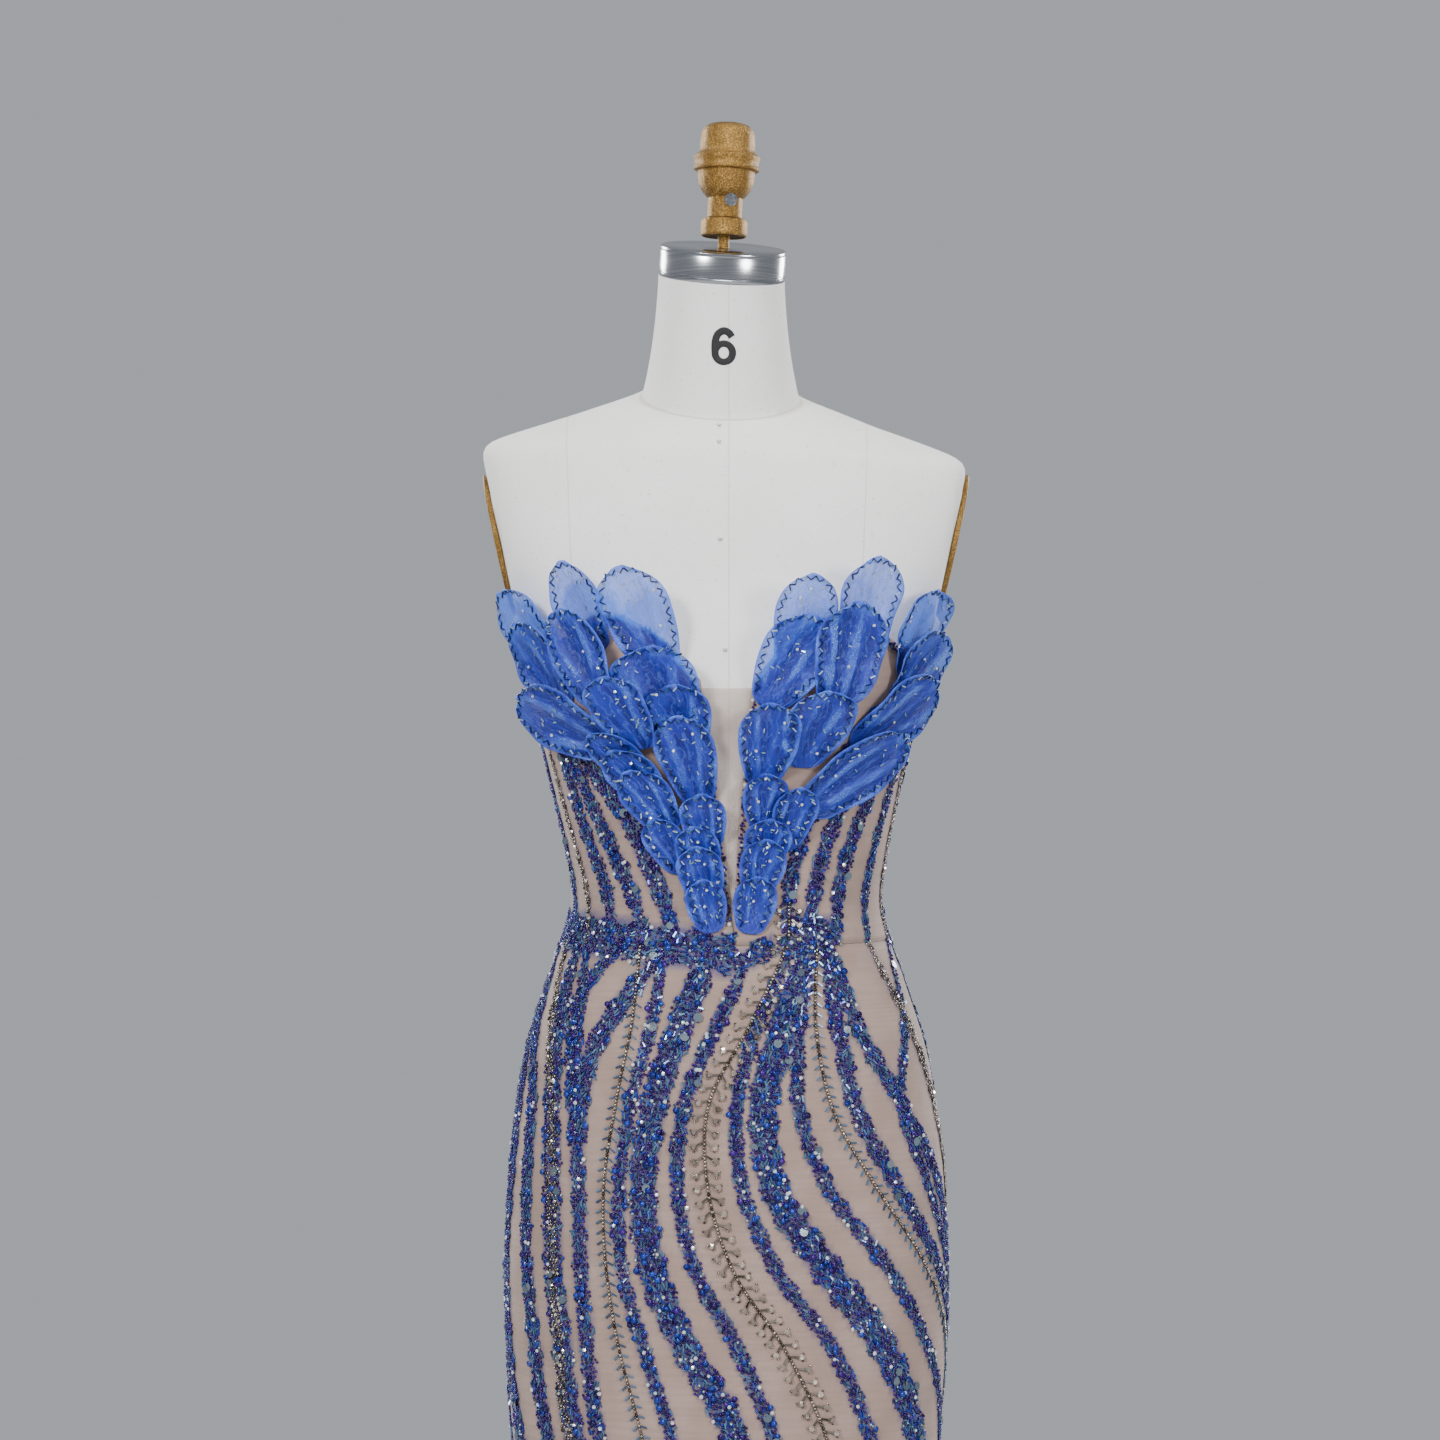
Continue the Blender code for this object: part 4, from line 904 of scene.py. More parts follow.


# Share of the painted shade and dark thread that the cloth gets under the bands of beads
def bed_share(angle, height):
    """How far a place lies under a band of beads, from 0 to 1: a belt is followed round the gown
    and any other band up it."""
    share = np.zeros(angle.shape)
    for kind, width, _, route_angle, route_height, heading in BANDS:
        if kind in ("stem", "fern", "trim"):
            continue
        if np.ptp(route_height) < BELT_RISE:
            order = np.argsort(route_angle)
            away = np.abs(height - np.interp(angle, route_angle[order], route_height[order]))
            inside = (angle > route_angle.min()) & (angle < route_angle.max())
        else:
            order = np.argsort(route_height)
            centre = np.interp(height, route_height[order], route_angle[order])
            slant = np.interp(height, route_height[order], np.sin(heading[order]) ** 2)
            away = np.abs(wrapped(angle - centre)) * cloth_radius(angle, height) * np.sqrt(slant)
            inside = (height > route_height.min()) & (height < route_height.max())
        half = 0.5 * band_width(kind, width, height)
        beyond = smooth_step(away, half - SHADE_FADE_INSIDE, half + SHADE_FADE_OUTSIDE)
        share = np.maximum(share, inside * (1.0 - beyond))
    return share


# Gown panels

# Columns and rows of each panel's grid
BODICE_FRONT_GRID = (44, 40)
BODICE_BACK_GRID = (44, 26)
SKIRT_FRONT_GRID = (108, 150)
SKIRT_BACK_GRID = (54, 150)
NET_GRID = (8, 50)
# Height at which a panel's edges say where its crest is read
CREST_GUIDE = 1.24
NET_START = 0.004
NET_SINK = 0.0004
NET_THICKNESS = 0.0006


def panel_grid(left, right, bottom, crest, columns, rows):
    """Angles and heights of a panel.

    left and right give an edge's angle at a height and crest the upper edge's height at an
    angle. A height runs evenly from the bottom to the crest above it, and an angle runs evenly
    between the two edges at that height.
    """
    across, along = np.meshgrid(np.linspace(0, 1, columns + 1), np.linspace(0, 1, rows + 1))
    upper = crest(left(CREST_GUIDE) * (1 - across) + right(CREST_GUIDE) * across)
    height = bottom + along * (upper - bottom)
    angle = left(height) * (1 - across) + right(height) * across
    return angle, height


def side_seam(side, way):
    """Angle of a side seam's edge at a height; way is -1 before the seam and 1 past it."""
    return lambda height: side * (math.pi / 2 + way * SEAM_GAP / 2 / cloth_radius(math.pi / 2, height))


def centre_back(side):
    """Angle of a back panel's edge beside the centre back, with room for the zip above its end."""
    def edge(height):
        offset = np.where(np.asarray(height) >= ZIP_BOTTOM, ZIP_HALF_WIDTH + SEAM_GAP, SEAM_GAP / 2)
        return side * (math.pi - offset / cloth_radius(math.pi, height))
    return edge


def flat_size(angle, height):
    """Greatest width, length and area of a panel as it is cut."""
    points = cloth_point(angle, height)
    widths = np.linalg.norm(np.diff(points, axis=1), axis=-1).sum(1)
    lengths = np.linalg.norm(np.diff(points, axis=0), axis=-1).sum(0)
    area = float(0.5 * (widths[1:] + widths[:-1]) @ np.linalg.norm(np.diff(points, axis=0), axis=-1).mean(1))
    return float(widths.max()), float(lengths.max()), area


def gown_panel(name, left, right, bottom, crest, held, columns, rows):
    """One panel: the gown's face between its edges, lifted by the creases, with its wall."""
    angle, height = panel_grid(left, right, bottom, crest, columns, rows)
    points = cloth_point(angle, height, crease_lift(angle, height))
    uv = np.stack([angle * cloth_radius(angle, height), height], -1)
    item = mesh_object(name + "_cloth", points, grid_faces(rows + 1, columns + 1), uv=uv,
                       bed=bed_share(angle, height).ravel())
    add_wall(item, WALL)
    settle(item, TULLE, stands_for=(name,))
    width, length, area = flat_size(angle, height)


def gown_cloth():
    """The seven panels between the seams, the plunge, the zip and the hem."""
    low = WAIST_SEAM + SEAM_GAP / 2

    def flat_top(angle):
        return WAIST_SEAM - SEAM_GAP / 2 + 0 * angle

    def front_edge(side):
        return lambda height: plunge_edge(height, side)

    front_seams = {side: side_seam(side, -1) for side in (-1, 1)}
    back_seams = {side: side_seam(side, 1) for side in (-1, 1)}
    bodice = (low, top_edge, "stretched")
    skirt = (HEM, flat_top, "hung")
    gown_panel("bodice_front_left", front_seams[-1], front_edge(-1), *bodice, *BODICE_FRONT_GRID)
    gown_panel("bodice_front_right", front_edge(1), front_seams[1], *bodice, *BODICE_FRONT_GRID)
    gown_panel("bodice_back_left", centre_back(-1), back_seams[-1], *bodice, *BODICE_BACK_GRID)
    gown_panel("bodice_back_right", back_seams[1], centre_back(1), *bodice, *BODICE_BACK_GRID)
    gown_panel("skirt_front", front_seams[-1], front_seams[1], *skirt, *SKIRT_FRONT_GRID)
    gown_panel("skirt_back_left", centre_back(-1), back_seams[-1], *skirt, *SKIRT_BACK_GRID)
    gown_panel("skirt_back_right", back_seams[1], centre_back(1), *skirt, *SKIRT_BACK_GRID)


def plunge_net():
    """Nude net between the plunge's edges."""
    columns, rows = NET_GRID
    heights = np.linspace(PLUNGE_POINT + NET_START, NET_TOP, rows + 1)
    share, height = np.meshgrid(np.linspace(0, 1, columns + 1), heights)
    gap = SEAM_GAP / cloth_radius(0.0, height)
    low = plunge_edge(height, -1) + gap
    high = plunge_edge(height, 1) - gap
    angle = low + share * (high - low)
    points = cloth_point(angle, height, -NET_SINK + 0 * angle)
    uv = np.stack([angle * cloth_radius(angle, height), height], -1)
    item = mesh_object("plunge_net_cloth", points, grid_faces(rows + 1, columns + 1), uv=uv)
    add_wall(item, NET_THICKNESS)
    settle(item, NET, stands_for=("plunge_net",))
    width, length, area = flat_size(angle, height)


# Petals

PETAL_ROWS = 36
PETAL_COLUMNS = 32
# Outline, in shares of a petal's width and length
ROOT_WIDTH = 0.58
ROOT_SWELL = 0.42
WIDEST = 0.6
PINCH_DEPTH = 0.75
PINCH_LENGTH = 0.12
TIP_CLOSE = 0.96
TIP_ROUND = 2.4
TIP_BOW = 0.08
# Where the part's seat is read: beside the middle of the tip, within a small distance
SEAT_ACROSS = 0.2
SEAT_RADIUS = 0.12
SEAT_REACH = 0.0004
# A petal is cut this much wider and longer than it shows, and this share of its rectangle is cloth
FULLNESS = (1.22, 1.08)
PETAL_SHARE = 0.82
# How deep a petal looks over the lined bodice alone, against 1 over two more petals
LINED = 0.60
# Height of a fold over the cloth round it that counts as a full ridge
FOLD_DEPTH = 0.0006
# Cells of the map of layers, and into how many parts a petal's grid is cut to fill them
MAP_ANGLES = (-1.75, 1.75)
MAP_HEIGHTS = (0.98, 1.36)
MAP_ANGLE_STEP = 0.005
MAP_HEIGHT_STEP = 0.0008
MAP_PARTS = 5
# Petals stay this far off the cloth, also a little above its edge, past which none is under them
CLOTH_ROOM = 0.0012
EDGE_ROOM = 0.004
NO_CLOTH = -0.05
# A petal as wide as this has its folds at their full depth
FULL_WIDTH = 0.042
RIM_LIFT = 0.0042
GATHER_DEPTH = 0.0016
RIPPLE_DEPTH = 0.0016
TIP_WAVE = 0.0012
FOLDS = [
    # place across the petal, reach to each side, depth
    (0.0, 0.32, -0.0036),
    (-0.46, 0.10, 0.0026),
    (0.40, 0.12, 0.0028),
    (0.02, 0.07, 0.0016),
]
# The share of a petal's length that counts as its root, and how far it may sink there
ROOT_LENGTH = 0.35
ROOT_SINK = 0.0025


def carrier_radius(angle, level):
    """Radius that petals are measured from: past the cups they stand straight up."""
    height = CARRIER_TOP - CARRIER_SOFTNESS * np.logaddexp(0.0, (CARRIER_TOP - level) / CARRIER_SOFTNESS)
    return cloth_radius(angle, height)


def petal_outline(row, along, across):
    """Angle and height of places on a petal, which is laid flat, turned by its lean and wrapped
    round the gown: narrow at its root, widest past its middle and round at its tip."""
    _, degrees, height, lean, length, width, _ = row
    swell = ROOT_WIDTH + ROOT_SWELL * np.sin(0.5 * math.pi * np.minimum(along / WIDEST, 1.0))
    swell = swell * np.sqrt(1.0 - PINCH_DEPTH * np.maximum(1.0 - along / PINCH_LENGTH, 0.0) ** 2)
    past = np.maximum(along - WIDEST, 0.0) / (1.0 - WIDEST)
    close = (1.0 - (TIP_CLOSE * past) ** TIP_ROUND) ** (1 / TIP_ROUND)
    sideways = across * 0.5 * width * swell * close
    forward = length * (along - TIP_BOW * across**2 * along**2)
    turn = math.radians(lean)
    round_way = forward * math.sin(turn) + sideways * math.cos(turn)
    up_way = forward * math.cos(turn) - sideways * math.sin(turn)
    start = math.radians(degrees)
    return start + round_way / float(cloth_radius(start, height)), height + up_way


def plain_lift(row, index, along, across):
    """Lift of the part's petal above its seat: a steady slope, a curled tip and a cupped width."""
    length, tip_lift = row[4], row[6]
    cup = PETAL_CUP * (1 if index % 3 else REVERSE_CUP)
    return PETAL_SLOPE * along * length + tip_lift * along**2.5 + cup * across**2 * (0.3 + 0.7 * along)


def petal_seat(row, index):
    """The part's seat of a petal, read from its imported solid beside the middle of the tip."""
    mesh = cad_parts["petal_" + row[0]].data
    points = np.empty(3 * len(mesh.vertices), np.float32)
    mesh.vertices.foreach_get("co", points)
    points = points.reshape(-1, 3).astype(float)
    along, across = np.array([1.0]), np.array([SEAT_ACROSS])
    angle, level = petal_outline(row, along, across)
    beside = (np.arctan2(points[:, 0], -points[:, 1]) - angle) * SEAT_RADIUS
    near = np.hypot(beside, points[:, 2] - level)
    radius = np.hypot(points[:, 0], points[:, 1])
    tip = radius[near < near.min() + SEAT_REACH].max()
    return float(tip - carrier_radius(angle, level)[0] - plain_lift(row, index, along, across)[0])


def finer(values, parts):
    """A grid with more rows and columns, on straight lines between its own."""
    for axis in (0, 1):
        count = values.shape[axis]
        places = np.linspace(0, count - 1, (count - 1) * parts + 1)
        first = np.minimum(places.astype(int), count - 2)
        share = (places - first).reshape((-1, 1) if axis == 0 else (1, -1))
        before, after = np.take(values, first, axis=axis), np.take(values, first + 1, axis=axis)
        values = before * (1 - share) + after * share
    return values


def soften(values):
    """Each value drawn towards its neighbours in the grid."""
    padded = np.pad(values, 1, mode="edge")
    return (padded[:-2, 1:-1] + padded[2:, 1:-1] + padded[1:-1, :-2] + padded[1:-1, 2:] + 4 * values) / 8


class LayerMap:
    """How high the layers laid so far stand off the carrier, and how many petals, cell by cell."""

    def __init__(self):
        self.angles = np.arange(*MAP_ANGLES, MAP_ANGLE_STEP)
        self.heights = np.arange(*MAP_HEIGHTS, MAP_HEIGHT_STEP)
        angle, height = np.meshgrid(self.angles, self.heights)
        on_cloth = height < top_edge(angle) + EDGE_ROOM
        cloth = cloth_radius(angle, height) - carrier_radius(angle, height)
        self.top = np.where(on_cloth, cloth + CLOTH_ROOM, NO_CLOTH)
        self.count = np.zeros(self.top.shape)

    def cells(self, angle, level):
        column = np.rint((angle - MAP_ANGLES[0]) / MAP_ANGLE_STEP).astype(int)
        line = np.rint((level - MAP_HEIGHTS[0]) / MAP_HEIGHT_STEP).astype(int)
        return line, column

    def under(self, angle, level):
        """Height of the layers and number of the petals under places of a petal."""
        line, column = self.cells(angle, level)
        place = (np.clip(line, 0, len(self.heights) - 1), np.clip(column, 0, len(self.angles) - 1))
        return self.top[place], self.count[place]

    def lay(self, angle, level, lift):
        """Raise the cells that a petal covers to its lift, and count it there."""
        angle, level, lift = [finer(part, MAP_PARTS) for part in (angle, level, lift)]
        line, column = self.cells(angle, level)
        inside = (column >= 0) & (column < len(self.angles)) & (line >= 0) & (line < len(self.heights))
        place = (line[inside], column[inside])
        np.maximum.at(self.top, place, lift[inside])
        covered = np.zeros(self.top.shape, bool)
        covered[place] = True
        self.count += covered


def petal_relief(lift, along, across, width, rng):
    """A petal's plain lift with a cupped rim, gathers at its root, ripples, a wavy tip and folds.

    Each fold is a bell across the petal, exp(-((across - centre) / reach)^2), whose centre fans
    out from the root and which fades at both ends.
    """
    phase = rng.uniform(0, 2 * math.pi, 4)
    scale = min(width / FULL_WIDTH, 1.1) ** 1.4
    rim = RIM_LIFT * np.abs(across) ** 2.6 * np.sin(math.pi * np.minimum(along * 0.8 + 0.15, 1.0))
    gather = GATHER_DEPTH * (1 - along) ** 2 * np.cos(3.0 * math.pi * across + phase[0])
    ripple = RIPPLE_DEPTH * across**2 * np.sin(2 * math.pi * (1.9 * along + 0.8 * across) + phase[1])
    tip = TIP_WAVE * along**3 * np.sin(1.8 * math.pi * across + phase[2])
    lift = lift + scale * (rim + gather + ripple + tip)
    fade = np.sin(math.pi * np.minimum(along / 0.9, 1.0)) ** 0.7
    for place, reach, depth in FOLDS:
        fan = 0.35 + 0.8 * along
        centre = (place + rng.uniform(-0.16, 0.16)) * fan + rng.uniform(-0.3, 0.3) * along**2
        bell = np.exp(-(((across - centre) / reach) ** 2))
        lift = lift + scale * depth * rng.uniform(0.6, 1.3) * fade * bell
    return lift


def rest_on(lift, under, along):
    """A petal's lift where it rests on what is under it, softened, with its root let down."""
    free = smooth_step(along, 0.0, ROOT_LENGTH)
    lift = np.maximum(free * lift + (1 - free) * np.maximum(under, lift - ROOT_SINK), under)
    for _ in range(6):
        lift = np.maximum(soften(lift), under)
    return soften(soften(lift))


# Its result paints highlights on the organza's ridges and shade in its pockets
def ridges(lift):
    """1 on a full ridge and -1 in a full pocket, against the lift averaged round each place."""
    average = lift
    for _ in range(14):
        average = soften(average)
    return np.clip((lift - average) / FOLD_DEPTH, -1.0, 1.0)


def petal_sheets():
    """Lay the petals one after another over the layers below them.

    A petal keeps the part's lift, with a relief of its own, and where the layers below stand
    higher it rests on them. Each place also knows how deep its colour is over those layers.
    """
    rng = np.random.default_rng(11)
    layer_map = LayerMap()
    along, across = np.meshgrid(np.linspace(0, 1, PETAL_ROWS + 1), np.linspace(-1, 1, PETAL_COLUMNS + 1),
                                indexing="ij")
    sheets = []
    for index, row in enumerate(PETALS):
        angle, level = petal_outline(row, along, across)
        plain = petal_seat(row, index) + plain_lift(row, index, along, across)
        own = petal_relief(plain, along, across, row[5], rng)
        top, count = layer_map.under(angle, level)
        lift = rest_on(own, top + LAYER_GAP + ORGANZA, along)
        lined = LINED * smooth_step(top_edge(angle) - level, -0.002, 0.003)
        layers = np.maximum(np.minimum(count / 2, 1.0), lined)
        layer_map.lay(angle, level, lift)
        points = round_axis(carrier_radius(angle, level) + lift, angle, level)
        sheets.append((row, along, across, points, layers, ridges(lift)))
    return sheets


def petals(sheets):
    """Each petal as a thin sheet of organza with its rim, layers and folds as attributes."""
    for row, along, across, points, layers, fold in sheets:
        name, _, _, _, length, width, _ = row
        rim = np.maximum(smooth_step(np.abs(across), 0.86, 0.98), smooth_step(along, 0.93, 0.99))
        uv = np.stack([across * width / 2, along * length], -1)
        item = mesh_object("petal_" + name + "_organza", points, grid_faces(*points.shape[:2]), uv=uv,
                           rim=rim.ravel(), layers=layers.ravel(), fold=fold.ravel())
        add_wall(item, ORGANZA)
        settle(item, ORGANZA_BLUE, stands_for=("petal_" + name,))
        flat = (FULLNESS[0] * width, FULLNESS[1] * length)
        PETAL_SHARE * flat[0] * flat[1]
        "bodice_front_" + name.split("_")[0] + "_cloth"


# Beads

def circle(sides, radius, height):
    """Points (radius cos t, radius sin t, height), evenly round."""
    turns = 2 * math.pi * np.arange(sides) / sides
    return np.stack([radius * np.cos(turns), radius * np.sin(turns), height + 0 * turns], -1)


def sides_of(count):
    """Number of each side's first corner, and of the corner that follows it."""
    first = np.arange(count)
    return first, (first + 1) % count


def facets(*triangles):
    """The same few triangles for each side, from the numbers of their corners."""
    return np.stack([np.stack(np.broadcast_arrays(*corners), -1) for corners in triangles], 1).reshape(-1, 3)


def stone_shape(sides, girdle, top):
    """Round stone or sequin: a circle closed by a point above and one below."""
    first, following = sides_of(sides)
    points = np.vstack([circle(sides, 1.0, girdle), (0, 0, top), (0, 0, -1.0)])
    return points, facets((first, following, sides), (following, first, sides + 1))


def bugle_shape():
    """Square glass tube, closed at both ends."""
    turns = np.radians([45, 135, 225, 315])
    points = np.vstack([np.stack([end + 0 * turns, np.cos(turns), np.sin(turns)], -1) for end in (-1, 1)])
    first, following = sides_of(4)
    walls = facets((first, first + 4, following), (following, first + 4, following + 4))
    return points, np.vstack([walls, [(0, 1, 2), (0, 2, 3), (4, 6, 5), (4, 7, 6)]])


def crystal_shape(sides=6):
    """Cut stone: a small table, a girdle and a point below."""
    first, following = sides_of(sides)
    points = np.vstack([circle(sides, 0.55, 1.0), circle(sides, 1.0, 0.2), (0, 0, 1.0), (0, 0, -1.0)])
    table = (first, following, 2 * sides)
    crown = ((first + sides, following + sides, following), (first + sides, following, first))
    foot = (following + sides, first + sides, 2 * sides + 1)
    return points, facets(table, *crown, foot)


SHAPES = {
    # kind: (points, faces), smooth, half sizes along, across and out
    "seed": (stone_shape(5, 0.0, 1.0), True, (0.00128, 0.00128, 0.00115)),
    "bugle": (bugle_shape(), False, (0.00215, 0.00078, 0.00078)),
    "stitch": (bugle_shape(), False, (0.00210, 0.00068, 0.00062)),
    "sequin": (stone_shape(8, 1.0, 0.2), True, (0.0024, 0.0024, 0.00025)),
    "flat_sequin": (stone_shape(10, 1.0, 0.9), False, (0.0033, 0.0033, 0.00020)),
    "crystal": (crystal_shape(), False, (0.0016, 0.0016, 0.0012)),
}
BEAD_REST = {
    # shape: height over the cloth, spread of its turn in radians, tilt
    "seed": (0.0009, 1.6, 0.12),
    "bugle": (0.0007, 0.55, 0.12),
    "sequin": (0.0017, 1.6, 0.16),
    "flat_sequin": (0.0016, 1.6, 0.16),
    "crystal": (0.0014, 1.6, 0.12),
}
TINTS = {
    # name: two ends of the range, and how metallic it is
    "violet": ((0.010, 0.003, 0.060), (0.055, 0.014, 0.215), 0.30),
    "royal": ((0.006, 0.014, 0.160), (0.024, 0.060, 0.380), 0.30),
    "navy": ((0.004, 0.009, 0.070), (0.012, 0.030, 0.180), 0.30),
    "steel_blue": ((0.022, 0.055, 0.120), (0.090, 0.185, 0.320), 0.30),
    "ice": ((0.200, 0.310, 0.400), (0.400, 0.510, 0.600), 0.40),
    "silver": ((0.030, 0.026, 0.022), (0.520, 0.460, 0.390), 0.85),
    "crystal_silver": ((0.250, 0.215, 0.180), (0.950, 0.860, 0.750), 0.90),
    "smoke": ((0.060, 0.085, 0.110), (0.140, 0.180, 0.210), 0.20),
    "pearl": ((0.700, 0.740, 0.780), (0.860, 0.900, 0.940), 0.55),
}
FILLINGS = {
    # band: shape, tint and share of each kind of bead
    "trim": [("seed", "violet", 0.66), ("seed", "royal", 0.10), ("bugle", "steel_blue", 0.18),
             ("crystal", "pearl", 0.06)],
    "silver": [("seed", "silver", 0.80), ("bugle", "silver", 0.12), ("crystal", "crystal_silver", 0.08)],
    "thick": [("seed", "violet", 0.50), ("seed", "royal", 0.06), ("bugle", "steel_blue", 0.25),
              ("bugle", "royal", 0.07), ("seed", "ice", 0.05), ("sequin", "royal", 0.045),
              ("sequin", "violet", 0.025), ("flat_sequin", "smoke", 0.007), ("crystal", "pearl", 0.022)],
    "mixed": [("seed", "violet", 0.58), ("seed", "royal", 0.06), ("bugle", "steel_blue", 0.22),
              ("bugle", "royal", 0.06), ("seed", "ice", 0.04), ("sequin", "royal", 0.035),
              ("sequin", "violet", 0.02), ("flat_sequin", "smoke", 0.005), ("crystal", "pearl", 0.016)],
    "loose": [("seed", "violet", 0.50), ("seed", "royal", 0.08), ("bugle", "steel_blue", 0.24),
              ("bugle", "royal", 0.06), ("seed", "ice", 0.05), ("sequin", "royal", 0.035),
              ("crystal", "pearl", 0.02)],
}


class Tray:
    """Beads waiting to be joined: their place on the cloth, turn, size, shape and tint."""

    def __init__(self):
        self.lots = []

    def add(self, points, along, out, shape, tint, rng, size=1.0, tilt=0.0):
        """points with the way each bead points along and out of the cloth; size may differ for each."""
        count = len(points)
        if count == 0:
            return
        (corners, faces), smooth, halves = SHAPES[shape]
        low, high, metal = TINTS[tint]
        shade = rng.uniform(0, 1, (count, 1))
        tints = np.array(low) * (1 - shade) + np.array(high) * shade
        if tilt:
            out = unit(out + rng.normal(0, tilt, (count, 3)))
        along = unit(along - (along * out).sum(-1, keepdims=True) * out)
        beside = np.cross(out, along)
        scale = np.broadcast_to(np.asarray(size, float), (count,))[:, None, None]
        local = corners * np.array(halves) * scale
        body = (points[:, None] + local[..., :1] * along[:, None] + local[..., 1:2] * beside[:, None]
                + local[..., 2:] * out[:, None])
        self.lots.append((body, faces, smooth, tints, np.full(count, metal)))

    def join(self, name, slot="beaded_tulle"):
        """One object of all the beads in the tray."""
        points, faces, smooth, tints, metals = [], [], [], [], []
        start = 0
        for body, shape_faces, is_smooth, tint, metal in self.lots:
            count, corners = body.shape[:2]
            points.append(body.reshape(-1, 3))
            offsets = start + corners * np.arange(count)
            faces.append((shape_faces[None] + offsets[:, None, None]).reshape(-1, 3))
            smooth.append(np.full(count * len(shape_faces), is_smooth))
            tints.append(np.repeat(tint, corners, axis=0))
            metals.append(np.repeat(metal, corners))
            start += count * corners
        item = mesh_object(name, np.concatenate(points), np.concatenate(faces), np.concatenate(smooth),
                           tint=np.concatenate(tints), metal=np.concatenate(metals))
        return settle(item, GLASS)


# Distance between rows and shift of a bead, in shares of the spacing
ROW_SHARE = 0.92
SHIFT = 0.24
# A band's edge sways by this share of its width, in waves along its length
EDGE_SWAY = 0.16
EDGE_WAVES = 260
EDGE_PHASE = 9000


def strew(band, spacing, rng):
    """Loose rows of beads that fill a band: each place is shifted a little from a hexagonal one."""
    kind, width, places, route_angle, route_height, heading = band
    across_count = int(math.ceil(width * 1.7 / spacing)) | 1
    run = np.arange(0.0, places[-1], spacing * ROW_SHARE)
    along, lane = np.meshgrid(run, np.arange(across_count) - across_count // 2, indexing="ij")
    offset = (lane + 0.5 * (np.arange(len(run)) % 2)[:, None]) * spacing
    along = (along + rng.uniform(-SHIFT, SHIFT, along.shape) * spacing).ravel()
    offset = (offset + rng.uniform(-SHIFT, SHIFT, offset.shape) * spacing).ravel()
    angle = np.interp(along, places, route_angle)
    height = np.interp(along, places, route_height)
    turn = np.interp(along, places, heading)
    uneven = 1 + EDGE_SWAY * np.sin(along * EDGE_WAVES + width * EDGE_PHASE)
    half = 0.5 * band_width(kind, width, height) * uneven
    kept = np.abs(offset) < half
    if kind == "loose":
        kept &= rng.uniform(0, 1, len(kept)) < LOOSE_SHARE
    angle, height, turn, offset = angle[kept], height[kept], turn[kept], offset[kept]
    radius = cloth_radius(angle, height)
    return angle - offset * np.sin(turn) / radius, height + offset * np.cos(turn), turn


# What stays free of beads, beside the zip and below its end, round the net, at the hem and the top
ZIP_CLEAR = 0.0075
ZIP_CLEAR_BELOW = 0.012
NET_CLEAR_ANGLE = 0.01
NET_CLEAR_BELOW = 0.003
HEM_CLEAR = 0.004
TOP_CLEAR = 0.001
FILL_CELL = 0.0019
CHAIN_CELL = 0.0010
CLAIM_CELL = 0.0026
TAKEN = set()


def cell_keys(angle, height, cell):
    """One number for the small square cell of cloth in which each place lies."""
    beside = wrapped(angle) * cloth_radius(angle, height)
    return np.rint(beside / cell).astype(np.int64) * 100000 + np.rint(height / cell).astype(np.int64)


def thin_out(angle, height, cell):
    """Which places to keep so that no two share a cell, and the zip, net, hem and top stay free."""
    _, first = np.unique(cell_keys(angle, height, cell), return_index=True)
    kept = np.zeros(len(angle), bool)
    kept[first] = True
    from_back = (math.pi - np.abs(wrapped(angle))) * cloth_radius(angle, height)
    kept &= ~((from_back < ZIP_CLEAR) & (height > ZIP_BOTTOM - ZIP_CLEAR_BELOW))
    low = plunge_edge(height, -1) - NET_CLEAR_ANGLE
    high = plunge_edge(height, 1) + NET_CLEAR_ANGLE
    net = (angle > low) & (angle < high) & (height > PLUNGE_POINT + NET_CLEAR_BELOW)
    kept &= ~net
    return kept & (height > HEM + HEM_CLEAR) & (height < top_edge(angle) - TOP_CLEAR)


def claim(angle, height):
    """Which places are still free in cells a bead wide; those cells are then taken."""
    keys = cell_keys(angle, height, CLAIM_CELL)
    free = np.array([key not in TAKEN for key in keys.tolist()], bool)
    TAKEN.update(keys[free].tolist())
    return free


HIP_END = 0.70
KNEE_END = 0.40


def region(angle, height):
    """Name of the joined piece that a bead belongs to."""
    low = np.where(height > KNEE_END, "knee", "hem")
    level = np.where(height > WAIST_SEAM, "bodice", np.where(height > HIP_END, "hip", low))
    face = np.where(np.abs(wrapped(angle)) < math.pi / 2, "front", "back")
    return np.array([f"beads_{part}_{side}" for part, side in zip(level, face)])


def fill_bands(trays):
    """Beads of every band, one filling after another, closer from the hip up."""
    rng = np.random.default_rng(5)
    for filling in FILLINGS:
        sets = []
        for band in BANDS:
            if band[0] == filling:
                dense = strew(band, HIGH_SPACING, rng)
                loose = strew(band, LOW_SPACING, rng)
                sets.append([part[dense[1] >= LOW_START] for part in dense])
                sets.append([part[loose[1] < LOW_START] for part in loose])
        angle, height, turn = [np.concatenate(parts) for parts in zip(*sets)]
        fill_places(trays, filling, angle, height, turn, rng)


